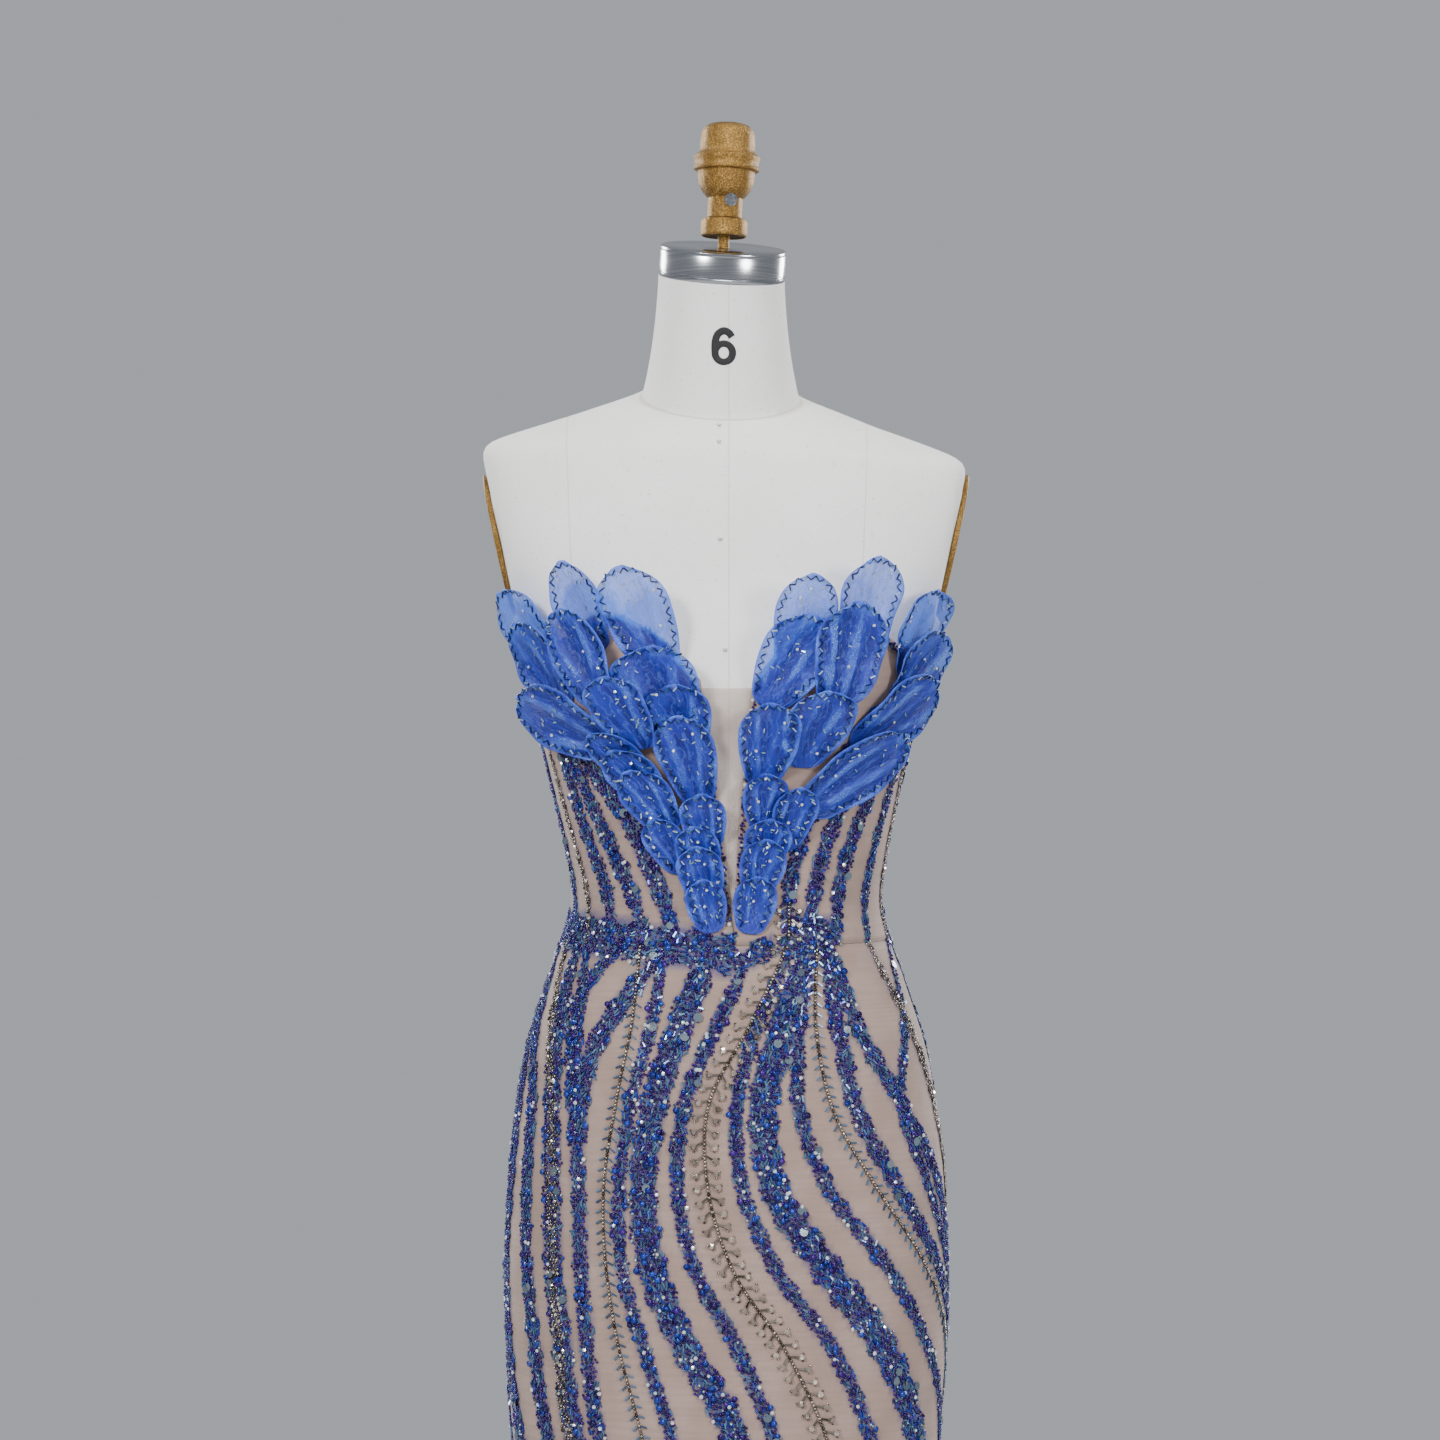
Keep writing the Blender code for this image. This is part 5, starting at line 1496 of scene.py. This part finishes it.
def fill_places(trays, filling, angle, height, turn, rng):
    """Give each free place a bead drawn from the band's mixture."""
    order = rng.permutation(len(angle))
    angle, height, turn = angle[order], height[order], turn[order]
    kept = thin_out(angle, height, FILL_CELL)
    kept &= claim(angle, height)
    angle, height, turn = angle[kept], height[kept], turn[kept]
    point, round_way, up_way, out_way = cloth_frame(angle, height)
    point = point + crease_lift(angle, height)[:, None] * out_way
    names = region(angle, height)
    kinds = FILLINGS[filling]
    shares = np.cumsum([share for _, _, share in kinds])
    pick = np.searchsorted(shares / shares[-1], rng.uniform(0, 1, len(angle)))
    low = np.where(height < LOW_START, LOW_SPACING / HIGH_SPACING, 1.0)
    for index, (shape, tint, _) in enumerate(kinds):
        rise, swing, tilt = BEAD_REST[shape]
        way = turn + rng.normal(0, swing, len(angle))
        along = np.cos(way)[:, None] * round_way + np.sin(way)[:, None] * up_way
        size = low * rng.uniform(0.88, 1.12, len(angle))
        for name in np.unique(names):
            chosen = (pick == index) & (names == name)
            place = point[chosen] + rise * out_way[chosen]
            trays[name].add(place, along[chosen], out_way[chosen], shape, tint, rng, size[chosen], tilt)


CHAIN_STEP = 0.0027
STALKS = {
    # kind: distance between stalks, reach of a stalk
    "stem": (0.0078, 0.0040),
    "fern": (0.0104, 0.0046),
}
STALK_SLANT = math.radians(58)
TUFT_SWINGS = (-1.1, 1.1)
TUFT_REACH = 0.0030


def chain_places(band, step):
    """Places a step apart along a band, but for those that stay free, and the way it heads there."""
    _, _, places, angle, height, heading = band
    run = np.arange(step / 2, places[-1], step)
    angle, height, heading = [np.interp(run, places, part) for part in (angle, height, heading)]
    kept = thin_out(angle, height, CHAIN_CELL)
    return angle[kept], height[kept], heading[kept]


def step_off(angle, height, radius, way, reach):
    """Places at a reach from others over cloth of a radius, each in its own way."""
    return angle + reach * np.cos(way) / radius, height + reach * np.sin(way)


def chains(trays):
    """Silver stems: a row of seeds with slanted bugles, or with stalks that end in crystals."""
    rng = np.random.default_rng(8)
    for band in BANDS:
        kind = band[0]
        if kind not in STALKS:
            continue
        angle, height, turn = chain_places(band, CHAIN_STEP)
        claim(angle, height)
        hang(trays, angle, height, turn, "seed", "silver", rng, 0.0, 1.20, 0.0011)
        pitch, reach = STALKS[kind]
        angle, height, turn = chain_places(band, pitch)
        radius = cloth_radius(angle, height)
        for side in (-1, 1):
            slant = turn + side * STALK_SLANT
            middle = step_off(angle, height, radius, slant, reach)
            claim(*middle)
            if kind == "stem":
                hang(trays, *middle, slant, "bugle", "steel_blue", rng, 0.0, 1.05, 0.0009)
                continue
            hang(trays, *middle, slant, "bugle", "silver", rng, 0.0, 1.20, 0.0010)
            end = step_off(angle, height, radius, slant, 2.0 * reach)
            claim(*end)
            hang(trays, *end, slant, "crystal", "crystal_silver", rng, 0.10, 1.60, 0.0015)
            for swing in TUFT_SWINGS:
                near = step_off(*end, radius, slant + swing, TUFT_REACH)
                hang(trays, *near, slant + swing, "seed", "silver", rng, 0.0, 0.80, 0.0008)


def hang(trays, angle, height, turn, shape, tint, rng, tilt, size, rise):
    """Beads in exact places, each pointing the way it is turned."""
    point, round_way, up_way, out_way = cloth_frame(angle, height)
    point = point + (crease_lift(angle, height) + rise)[:, None] * out_way
    along = np.cos(turn)[:, None] * round_way + np.sin(turn)[:, None] * up_way
    names = region(angle, height)
    for name in np.unique(names):
        chosen = names == name
        trays[name].add(point[chosen], along[chosen], out_way[chosen], shape, tint, rng, size, tilt)


def sample(grid, row, column):
    """Values of a grid of points between its own, on straight lines."""
    first = np.clip(row.astype(int), 0, grid.shape[0] - 2)
    second = np.clip(column.astype(int), 0, grid.shape[1] - 2)
    u = (row - first)[..., None]
    v = (column - second)[..., None]
    low = grid[first, second] * (1 - v) + grid[first, second + 1] * v
    high = grid[first + 1, second] * (1 - v) + grid[first + 1, second + 1] * v
    return low * (1 - u) + high * u


RIM_INSET = 0.0046
STITCH_STEP = 0.0034
STITCH_TINTS = [
    # tint, its turns among every five stitches
    ("navy", (0, 1, 3)),
    ("steel_blue", (2,)),
    ("ice", (4,)),
]
FACE_BEADS = [
    # shape, tint, count on a petal, size
    ("bugle", "ice", 7, 0.72),
    ("crystal", "pearl", 2, 0.85),
    ("seed", "ice", 6, 0.55),
]


def rim_path(points, spacing):
    """Evenly spaced places a little inside a petal's edge, up one side, over the tip and down."""
    rows, columns = points.shape[:2]
    width = np.linalg.norm(points[:, -1] - points[:, 0], axis=-1)
    length = np.linalg.norm(np.diff(points[:, columns // 2], axis=0), axis=-1).sum()
    reach = (rows - 1) * (1 - 0.85 * RIM_INSET / length)
    rising = np.linspace(0.14 * rows, reach, 60)
    inset = np.interp(rising, np.arange(rows), np.clip(RIM_INSET / width, 0.0, 0.5)) * (columns - 1)
    over = np.linspace(inset[-1], columns - 1 - inset[-1], 30)[1:-1]
    row = np.concatenate([rising, reach + 0 * over, rising[::-1]])
    column = np.concatenate([inset, over, (columns - 1 - inset)[::-1]])
    line = sample(points, row, column)
    run = np.concatenate([[0.0], np.cumsum(np.linalg.norm(np.diff(line, axis=0), axis=-1))])
    places = np.arange(0.0, run[-1], spacing)
    return np.interp(places, run, row), np.interp(places, run, column)


def petal_beads(sheets):
    """A zigzag of short bugles along each rim, with a few seeds, bugles and crystals on the face."""
    rng = np.random.default_rng(21)
    tray = Tray()
    for row, _, _, points, _, _ in sheets:
        out_way = unit(np.cross(np.gradient(points, axis=1), np.gradient(points, axis=0)))
        line, column = rim_path(points, STITCH_STEP)
        place = sample(points, line, column)
        out = unit(sample(out_way, line, column))
        along = unit(np.gradient(place, axis=0))
        beside = np.cross(out, along)
        order = np.arange(len(place))
        sway = np.where(order % 2, 1.0, -1.0)[:, None]
        raised, slant = place + 0.0006 * out, along + sway * beside
        for tint, turns in STITCH_TINTS:
            chosen = np.isin(order % 5, turns)
            tray.add(raised[chosen], slant[chosen], out[chosen], "stitch", tint, rng, 1.0, 0.04)
        corner = place + 0.0008 * out + 0.5 * sway * STITCH_STEP * beside + 0.5 * STITCH_STEP * along
        dark = order % 3 == 0
        tray.add(corner[dark], along[dark], out[dark], "seed", "violet", rng, 0.70, 0.1)
        for shape, tint, count, size in FACE_BEADS:
            spots = np.stack([rng.uniform(0.2, 0.92, count) * (points.shape[0] - 1),
                              rng.uniform(0.12, 0.88, count) * (points.shape[1] - 1)])
            spot_out = unit(sample(out_way, *spots))
            spot = sample(points, *spots) + 0.0007 * spot_out
            tray.add(spot, rng.normal(0, 1, (count, 3)), spot_out, shape, tint, rng, size, 0.1)
    tray.join("beads_petals", "organza")


def beads(sheets):
    """All beads, joined by region; the stems are sewn first and the bands fill round them."""
    trays = defaultdict(Tray)
    chains(trays)
    fill_bands(trays)
    for name in sorted(trays):
        trays[name].join(name)
    petal_beads(sheets)


# Dress form

def head_rotation():
    """Tilt of the neck's top: forwards, then a little sideways."""
    return np.array(Matrix.Rotation(HEAD_ROLL, 3, "Y") @ Matrix.Rotation(HEAD_TILT, 3, "X"))


def arm_plane(height):
    """Distance of the flat armhole from the middle at a height."""
    return ARM_PLANE_HALF_WIDTH + ARM_PLANE_SLOPE * (height - ARM_PLANE_HEIGHT)


def drop(across, height):
    """Lean of the shoulders, which grows over the chest."""
    return SHOULDER_DROP * across * smooth_step(height, BODICE_TOP, CHEST_TOP)


FORM_COLUMNS = 128
BODY_ROWS = 86
CHEST_ROWS = 24
SHOULDER_ROWS = 18
NECK_ROWS = 20
# The turn from the chest to the shoulders is softened over this many rings to each side
TURN_ROWS = 4


def form_grid(columns):
    """Rings of the form: the gown's inner face moved in, flat at the armholes, then the shoulders
    run to the neck's seam and the neck to its tilted top. The shoulder's turn is softened."""
    angles = np.arange(columns) * (2 * math.pi / columns)
    lower = np.linspace(FORM_BOTTOM, BODICE_TOP, BODY_ROWS)
    upper = np.linspace(BODICE_TOP, CHEST_TOP, CHEST_ROWS)[1:]
    angle, height = np.meshgrid(angles, np.concatenate([lower, upper]))
    body = cloth_point(wrapped(angle), height, -(WALL + FORM_CLEARANCE) + 0 * angle, FORM_CUP_SHARE)
    body[..., 2] -= drop(body[..., 0], height)
    limit = arm_plane(body[..., 2])
    clipped = np.clip(body[..., 0], -limit, limit)
    body[..., 0] = np.where(height >= BODICE_TOP - 0.002, clipped, body[..., 0])
    half_width, half_depth, across, depth, level, dip = NECK_SEAM
    seam = np.stack([across + half_width * np.sin(angles), depth - half_depth * np.cos(angles),
                     level - dip * np.cos(angles)], -1)
    seam[:, 2] -= drop(seam[:, 0], level)
    chest = body[-1]
    t = np.linspace(0, 1, SHOULDER_ROWS)[1:, None, None]
    shoulders = (1 - t) * chest + t * seam
    shoulders[..., 2] += SHOULDER_CROWN * np.sin(angles) ** 2 * np.sin(math.pi * t[..., 0])
    half_width, half_depth, across, depth, level = NECK_TOP
    flat = np.stack([half_width * np.sin(angles), -half_depth * np.cos(angles), 0 * angles], -1)
    top = flat @ head_rotation().T + np.array([across, depth, level])
    t = np.linspace(0, 1, NECK_ROWS)[1:, None, None]
    neck = (1 - t) * seam + t * top
    middle = neck.mean(axis=1, keepdims=True)
    hollow = NECK_HOLLOW * np.sin(math.pi * t) ** 0.8
    neck[..., :2] = middle[..., :2] + (neck[..., :2] - middle[..., :2]) * (1 - hollow)
    rings = np.concatenate([body, shoulders, neck])
    turn = len(body) - 1
    for _ in range(4):
        part = rings[turn - TURN_ROWS:turn + TURN_ROWS + 1]
        part[1:-1] = 0.25 * part[:-2] + 0.5 * part[1:-1] + 0.25 * part[2:]
    return rings


def closed_rings(rings):
    """Points and triangles of a stack of rings with a centre point at each end."""
    rows, columns = rings.shape[:2]
    quads = grid_faces(rows, columns, closed=True)
    sides = np.concatenate([quads[:, [0, 1, 2]], quads[:, [0, 2, 3]]])
    column = np.arange(columns)
    following = (column + 1) % columns
    low, high = rows * columns, rows * columns + 1
    last = (rows - 1) * columns
    floor = np.stack([following, column, np.full(columns, low)], -1)
    roof = np.stack([last + column, last + following, np.full(columns, high)], -1)
    points = np.concatenate([rings.reshape(-1, 3), rings[:1].mean(1), rings[-1:].mean(1)])
    return points, np.concatenate([sides, floor, roof])


def dress_form(rings):
    """The form's canvas from the foot of the torso to the top of the neck."""
    points, faces = closed_rings(rings)
    item = mesh_object("form_canvas", points, faces)
    item.data.set_sharp_from_angle(angle=math.radians(50))
    settle(item, CANVAS, stands_for=("form_torso",))


def front_of(rings, x, z, reach):
    """Points of the form's front at places across and up, from a smooth surface y = f(x, z) of the
    second degree that is fitted to the rings' points within reach of the middle of the places."""
    grid = rings.reshape(-1, 3)
    middle = np.array([np.mean(x), np.mean(z)])
    near = (np.abs(grid[:, [0, 2]] - middle) < reach).all(1) & (grid[:, 1] < 0.0)

    def terms(across, up):
        across, up = across - middle[0], up - middle[1]
        return np.stack([1 + 0 * across, across, up, across**2, across * up, up**2], -1)

    factors = np.linalg.lstsq(terms(grid[near, 0], grid[near, 2]), grid[near, 1], rcond=None)[0]
    return np.stack([x, terms(x, z) @ factors, z], -1)


INK_LIFT = 0.0004
INK_THICKNESS = 0.0002
INK_ROWS = 4
BOWL_SIDES = 64
STROKE_STEPS = 40
DIGIT_REACH = 0.020
DIGIT_PLACE = (-0.0020, 1.4755)
DIGIT_BOWL = (0.0002, -0.0050)
DIGIT_BOWL_OUTER = (0.0094, 0.0094)
DIGIT_BOWL_INNER = (0.0040, 0.0044)
DIGIT_STROKE = [
    # across, up, width
    (-0.0066, -0.0062, 0.0050),
    (-0.0067, -0.0010, 0.0054),
    (-0.0062, 0.0042, 0.0056),
    (-0.0043, 0.0090, 0.0056),
    (-0.0001, 0.0115, 0.0056),
    (0.0040, 0.0101, 0.0055),
    (0.0064, 0.0069, 0.0054),
]


def size_digit(rings):
    """The plain size number 6, printed on the neck: an oval ring, and a stroke along a curve."""
    turns = np.arange(BOWL_SIDES) * (2 * math.pi / BOWL_SIDES)
    turn, share = np.meshgrid(turns, np.linspace(0, 1, INK_ROWS))
    outer, inner = np.array(DIGIT_BOWL_OUTER), np.array(DIGIT_BOWL_INNER)
    radii = inner + share[..., None] * (outer - inner)
    bowl = np.array(DIGIT_BOWL) + radii * np.stack([np.sin(turn), np.cos(turn)], -1)
    table = np.array(DIGIT_STROKE)
    steps = np.linspace(0, len(table) - 1, STROKE_STEPS)
    line = np.moveaxis(through(np.arange(len(table)), table, steps), 0, -1)
    heading = unit(np.gradient(line[:, :2], axis=0))
    side = np.stack([-heading[:, 1], heading[:, 0]], -1)
    across = np.linspace(-0.5, 0.5, INK_ROWS)[:, None, None]
    stroke = line[None, :, :2] + across * line[None, :, 2:] * side[None]
    flat = np.concatenate([bowl.reshape(-1, 2), stroke.reshape(-1, 2)]) + np.array(DIGIT_PLACE)
    points = front_of(rings, flat[:, 0], flat[:, 1], DIGIT_REACH) - np.array([0.0, INK_LIFT, 0.0])
    stroke_faces = grid_faces(INK_ROWS, STROKE_STEPS) + bowl.size // 2
    faces = np.concatenate([grid_faces(INK_ROWS, BOWL_SIDES, closed=True), stroke_faces])
    item = mesh_object("size_digit", points, faces)
    add_wall(item, INK_THICKNESS)
    settle(item, INK)


PINS = [
    # across, height
    (-0.0053, 1.4157),
    (-0.0053, 1.4021),
    (-0.0045, 1.3269),
    (-0.0008, 1.2427),
]
PIN_RADIUS = 0.0016
PIN_LIFT = 0.0006
PIN_REACH = 0.012


def ball(centre, radius, rows=10, columns=16):
    """Sphere as rings from its south to its north pole."""
    rise = np.linspace(-0.5 * math.pi, 0.5 * math.pi, rows)[1:-1, None]
    turn = np.arange(columns)[None] * (2 * math.pi / columns)
    rings = np.stack([np.cos(rise) * np.cos(turn), np.cos(rise) * np.sin(turn), np.sin(rise) + 0 * turn], -1)
    return closed_rings(np.asarray(centre) + radius * rings)


def pins(rings):
    """Round pin heads down the form's front."""
    points, faces, start = [], [], 0
    for across, height in PINS:
        place = front_of(rings, np.array([across]), np.array([height]), PIN_REACH)[0]
        ball_points, ball_faces = ball(place - np.array([0.0, PIN_LIFT, 0.0]), PIN_RADIUS)
        points.append(ball_points)
        faces.append(ball_faces + start)
        start += len(ball_points)
    item = mesh_object("form_pins", np.concatenate(points), np.concatenate(faces))
    settle(item, NICKEL)


# Turned metal

def turned(name, profile, scale, place, material, node, sides=96, fit=None):
    """A profile of (radius, height) pairs from its foot up, turned about Z, with its own scale
    across and in depth, set in its place and then fitted to what it stands on, if fit is given."""
    profile = np.array(profile, float)
    turn = np.arange(sides) * (2 * math.pi / sides)
    rings = np.stack([profile[:, :1] * scale[0] * np.sin(turn), -profile[:, :1] * scale[1] * np.cos(turn),
                      profile[:, 1:] + 0 * turn], -1)
    place = np.array(place)
    points, faces = closed_rings(rings)
    points = points @ place[:3, :3].T + place[:3, 3]
    if fit:
        points = fit(points)
    item = mesh_object(name, points, faces)
    item.data.set_sharp_from_angle(angle=math.radians(38))
    settle(item, material, stands_for=(node,))


def head_place(height=0.0):
    """Place on the neck's tilted top, a little above the canvas."""
    _, _, across, depth, level = NECK_TOP
    turn = Matrix(head_rotation())
    axis = turn @ Vector((0, 0, 1))
    return Matrix.Translation(Vector((across, depth, level)) + axis * (SEAM_GAP + height)) @ turn.to_4x4()


def neck_cap():
    """Oval steel cap: a rounded foot with a groove over it, straight sides and a rounded top."""
    height = CAP_HEIGHT
    profile = [(0.990, 0.0), (1.0, 0.0008), (1.0, 0.0026), (0.990, 0.0032), (0.990, 0.0040), (1.0, 0.0046),
               (1.0, height - 0.0034), (0.993, height - 0.0028), (0.998, height - 0.0020),
               (0.992, height - 0.0006), (0.975, height), (0.5, height), (0.1, height)]
    turned("steel_cap", profile, NECK_TOP[:2], head_place(), STEEL, "neck_cap", 128)


def rod_foot():
    """Height of the rod's foot, which clears the cap's tilted top."""
    slope = math.tan(HEAD_TILT) + math.tan(HEAD_ROLL)
    return head_place(CAP_HEIGHT).translation.z + SEAM_GAP + ROD_RADIUS * slope


ROD_FOOT_GAP = 0.0002
ROD_FOOT_DEPTH = 0.0012


def on_cap(points):
    """Points of the rod's foot are lowered to a small gap over the cap's tilted top."""
    cap = head_place(CAP_HEIGHT)
    normal = np.array(cap.to_3x3() @ Vector((0, 0, 1)))
    over = (points - np.array(cap.translation)) @ normal / normal[2]
    foot = points[:, 2] < rod_foot() + ROD_FOOT_DEPTH
    lowered = points[:, 2] - np.where(foot, over - ROD_FOOT_GAP, 0.0)
    return np.column_stack([points[:, :2], lowered])


def knob():
    """Cast knob: rod, foot flange, stem, ball-shaped bowl, ring and dome, from the foot up."""
    foot = head_place(CAP_HEIGHT).translation
    foot.z = rod_foot()
    low = foot.z
    rod = [(ROD_RADIUS - 0.0005, low), (ROD_RADIUS, low + 0.0005), (ROD_RADIUS, 1.5652)]
    flange = [(0.0150, 1.5648), (0.0166, 1.5640), (0.0176, 1.5648), (0.0180, 1.5662), (0.0180, 1.5752),
              (0.0174, 1.5768), (0.0158, 1.5775)]
    stem = [(0.0139, 1.5784), (STEM_RADIUS, 1.5800), (STEM_RADIUS, STEM_TOP - 0.0006)]
    lowest = math.acos(STEM_RADIUS / BOWL_RADIUS)
    middle = STEM_TOP + BOWL_RADIUS * math.sin(lowest)
    turns = np.linspace(lowest, 0.0, 12)
    bowl = [(BOWL_RADIUS * math.cos(t), middle - BOWL_RADIUS * math.sin(t)) for t in turns]
    bowl.append((BOWL_RADIUS, BOWL_TOP))
    ring = [(0.0222, 1.6145), (0.0240, 1.6147), (0.0254, 1.6154), (0.0258, 1.6168), (0.0252, 1.6182),
            (0.0247, 1.6196), (0.0248, 1.6222), (0.0256, 1.6236), (0.0257, 1.6254), (0.0247, 1.6268),
            (0.0232, 1.6276), (0.0220, 1.6288), (0.0214, 1.6310)]
    turns = np.radians(np.linspace(90, 8, 16))
    dome = [(DOME_RADIUS * math.sin(t) ** DOME_FLATNESS,
             DOME_BOTTOM + (KNOB_TOP - DOME_BOTTOM) * math.cos(t) ** DOME_FLATNESS) for t in turns]
    profile = [(radius, height - low) for radius, height in rod + flange + stem + bowl + ring + dome]
    place = Matrix.Translation(foot) @ Matrix.Rotation(KNOB_LEAN, 4, "Y")
    turned("brass_knob", profile, (1.0, 1.0), place, BRASS, "knob", 72, on_cap)


def clamp_screw():
    """Round screw below the bowl, with a bevelled rim, a dished face and a shank into the stem."""
    foot = head_place(CAP_HEIGHT).translation
    lean = math.tan(KNOB_LEAN) * (SCREW_HEIGHT - rod_foot())
    seat = Vector((foot.x + lean + SCREW_OFFSET, foot.y - SCREW_SEAT, SCREW_HEIGHT))
    face = SCREW_LENGTH
    inner_end = STEM_RADIUS - SCREW_SEAT - SHANK_DEPTH
    profile = [(SHANK_RADIUS, inner_end), (SHANK_RADIUS, 0.0), (SCREW_RADIUS - 0.0006, 0.0),
               (SCREW_RADIUS, 0.0006), (SCREW_RADIUS, face - 0.0006), (SCREW_RADIUS - 0.0006, face),
               (0.0037, face), (0.0033, face - 0.0009), (0.0004, face - 0.0012)]
    place = Matrix.Translation(seat) @ Matrix.Rotation(math.pi / 2, 4, "X")
    turned("steel_screw", profile, (1.0, 1.0), place, STEEL, "knob_screw", 32)


def arm_plates():
    """Oval plates on the armholes: a rounded rim, a shallow step and a slightly domed face."""
    lean = math.atan(ARM_PLANE_SLOPE)
    depth, height = ARM_PLATE_CENTRE
    t = ARM_PLATE_THICKNESS
    profile = [(0.985, 0.0), (1.0, 0.0006), (1.0, t - 0.0016), (0.985, t - 0.0006), (0.955, t - 0.0003),
               (0.93, t - 0.0010), (0.90, t - 0.0008), (0.5, t - 0.0002), (0.1, t)]
    for side, name in ((-1, "arm_plate_left"), (1, "arm_plate_right")):
        outward = Vector((side * math.cos(lean), 0.0, -math.sin(lean)))
        upward = Vector((side * math.sin(lean), 0.0, math.cos(lean)))
        turn = Matrix((upward, outward.cross(upward), outward)).transposed()
        seat = Vector((side * arm_plane(height), depth, height)) + outward * SEAM_GAP
        turned(name + "_brass", profile, (ARM_PLATE_HALF_HEIGHT, ARM_PLATE_HALF_DEPTH),
               Matrix.Translation(seat) @ turn.to_4x4(), BRASS, name)


def stand_base():
    """Round foot that rises in a low dome to the pole's collar."""
    profile = [(0.196, 0.0), (BASE_RADIUS, 0.0015), (BASE_RADIUS, 0.0040), (0.1985, 0.0072), (0.1955, 0.0092),
               (0.185, 0.0115), (0.120, 0.0140), (0.060, 0.0164), (0.046, 0.0190), (0.036, 0.0245),
               (0.0306, 0.0300), (0.0290, 0.0400), (0.0280, 0.0500), (0.0272, 0.0535),
               (0.0255, BASE_COLLAR_TOP), (0.013, BASE_COLLAR_TOP)]
    turned("stand_foot", profile, (1.0, 1.0), Matrix.Identity(4), PAINT, "stand_base", 128)


TEETH_START = 0.004
TEETH_TOP = 1.1450
TOOTH_STEP = 0.0013
TOOTH_OFFSET = 0.0007
TOOTH_LIFT = 0.00015
TOOTH_SIZE = 0.42


def zip_teeth():
    """Two rows of small nylon teeth that meet along the middle of the tape."""
    heights = np.arange(ZIP_BOTTOM + TEETH_START, TEETH_TOP, TOOTH_STEP)
    tray = Tray()
    rng = np.random.default_rng(3)
    for side in (-1, 1):
        level = heights + (0.5 * TOOTH_STEP if side > 0 else 0.0)
        angle = math.pi + side * TOOTH_OFFSET / cloth_radius(math.pi, level)
        point, round_way, _, out_way = cloth_frame(angle, level)
        tray.add(point + TOOTH_LIFT * out_way, round_way, out_way, "bugle", "smoke", rng, TOOTH_SIZE)
    item = tray.join("zip_teeth", "zip_tape")
    item.data.materials.clear()
    item.data.materials.append(TAPE)


def dress_nodes():
    """Finishes of the part's own solids that stay in view."""
    finishes = {"zip_strip": TAPE, "zip_slider": NICKEL, "zip_tab": NICKEL, "stand_pole": STEEL}
    for name, material in finishes.items():
        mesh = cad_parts[name].data
        mesh.materials.clear()
        mesh.materials.append(material)


# Room

# The floor ends short of the camera's view, whose backdrop is then plain
FLOOR_RINGS = (3.0, 1.5, 0.5, 0.02)
FLOOR_SIDES = 48
FLOOR_DROP = 0.0004


def room():
    """A plain floor and a pale even sky."""
    turns = np.arange(FLOOR_SIDES) * (2 * math.pi / FLOOR_SIDES)
    circle_points = np.stack([np.sin(turns), -np.cos(turns), 0 * turns], -1)
    rings = np.stack([radius * circle_points for radius in FLOOR_RINGS])
    rings[..., 2] = -FLOOR_DROP
    floor = mesh_object("floor", rings, grid_faces(len(FLOOR_RINGS), FLOOR_SIDES, closed=True))
    floor.data.materials.append(pale_floor())
    world = bpy.data.worlds.new("studio")
    bpy.context.scene.world = world
    world.use_nodes = True
    world.node_tree.nodes["Background"].inputs["Color"].default_value = (0.80, 0.84, 0.90, 1.0)
    world.node_tree.nodes["Background"].inputs["Strength"].default_value = 0.50


LIGHTS = [
    # name, place, aim, size, power
    ("key", (-1.6, -2.4, 2.5), (0, 0, 1.1), 0.8, 96),
    ("fill", (2.1, -2.1, 1.8), (0, 0, 1.0), 0.9, 58),
    ("high", (0.2, -0.6, 3.4), (0, 0, 1.0), 0.9, 36),
    ("back_left", (-2.0, 2.2, 2.2), (0, 0, 1.0), 1.0, 60),
    ("back_right", (2.0, 2.4, 2.0), (0, 0, 1.0), 1.0, 60),
]


def lights():
    """Round soft lamps, each turned to its aim."""
    for name, place, aim, size, power in LIGHTS:
        lamp = bpy.data.lights.new(name, "AREA")
        lamp.shape = "DISK"
        lamp.size = size
        lamp.energy = power
        item = bpy.data.objects.new(name, lamp)
        item.location = place
        item.rotation_euler = (Vector(aim) - Vector(place)).to_track_quat("-Z", "Y").to_euler()
        bpy.context.scene.collection.objects.link(item)


SENSOR = 36.0
DISTANCE = 2.8
FRAME_WIDTH = 1.1232
CAMERA_PLACE = (-0.0047, -DISTANCE, 1.19)


def camera():
    """Level camera before the front, whose view is as wide as the photograph's."""
    data = bpy.data.cameras.new("camera")
    data.sensor_width = SENSOR
    data.lens = SENSOR * DISTANCE / FRAME_WIDTH
    item = bpy.data.objects.new("camera", data)
    item.location = CAMERA_PLACE
    item.rotation_euler = (math.pi / 2, 0.0, 0.0)
    bpy.context.scene.collection.objects.link(item)
    bpy.context.scene.camera = item


def main():
    camera()
    lights()
    room()
    gown_cloth()
    plunge_net()
    sheets = petal_sheets()
    petals(sheets)
    rings = form_grid(FORM_COLUMNS)
    dress_form(rings)
    size_digit(rings)
    pins(rings)
    neck_cap()
    knob()
    clamp_screw()
    arm_plates()
    stand_base()
    zip_teeth()
    dress_nodes()
    beads(sheets)


main()
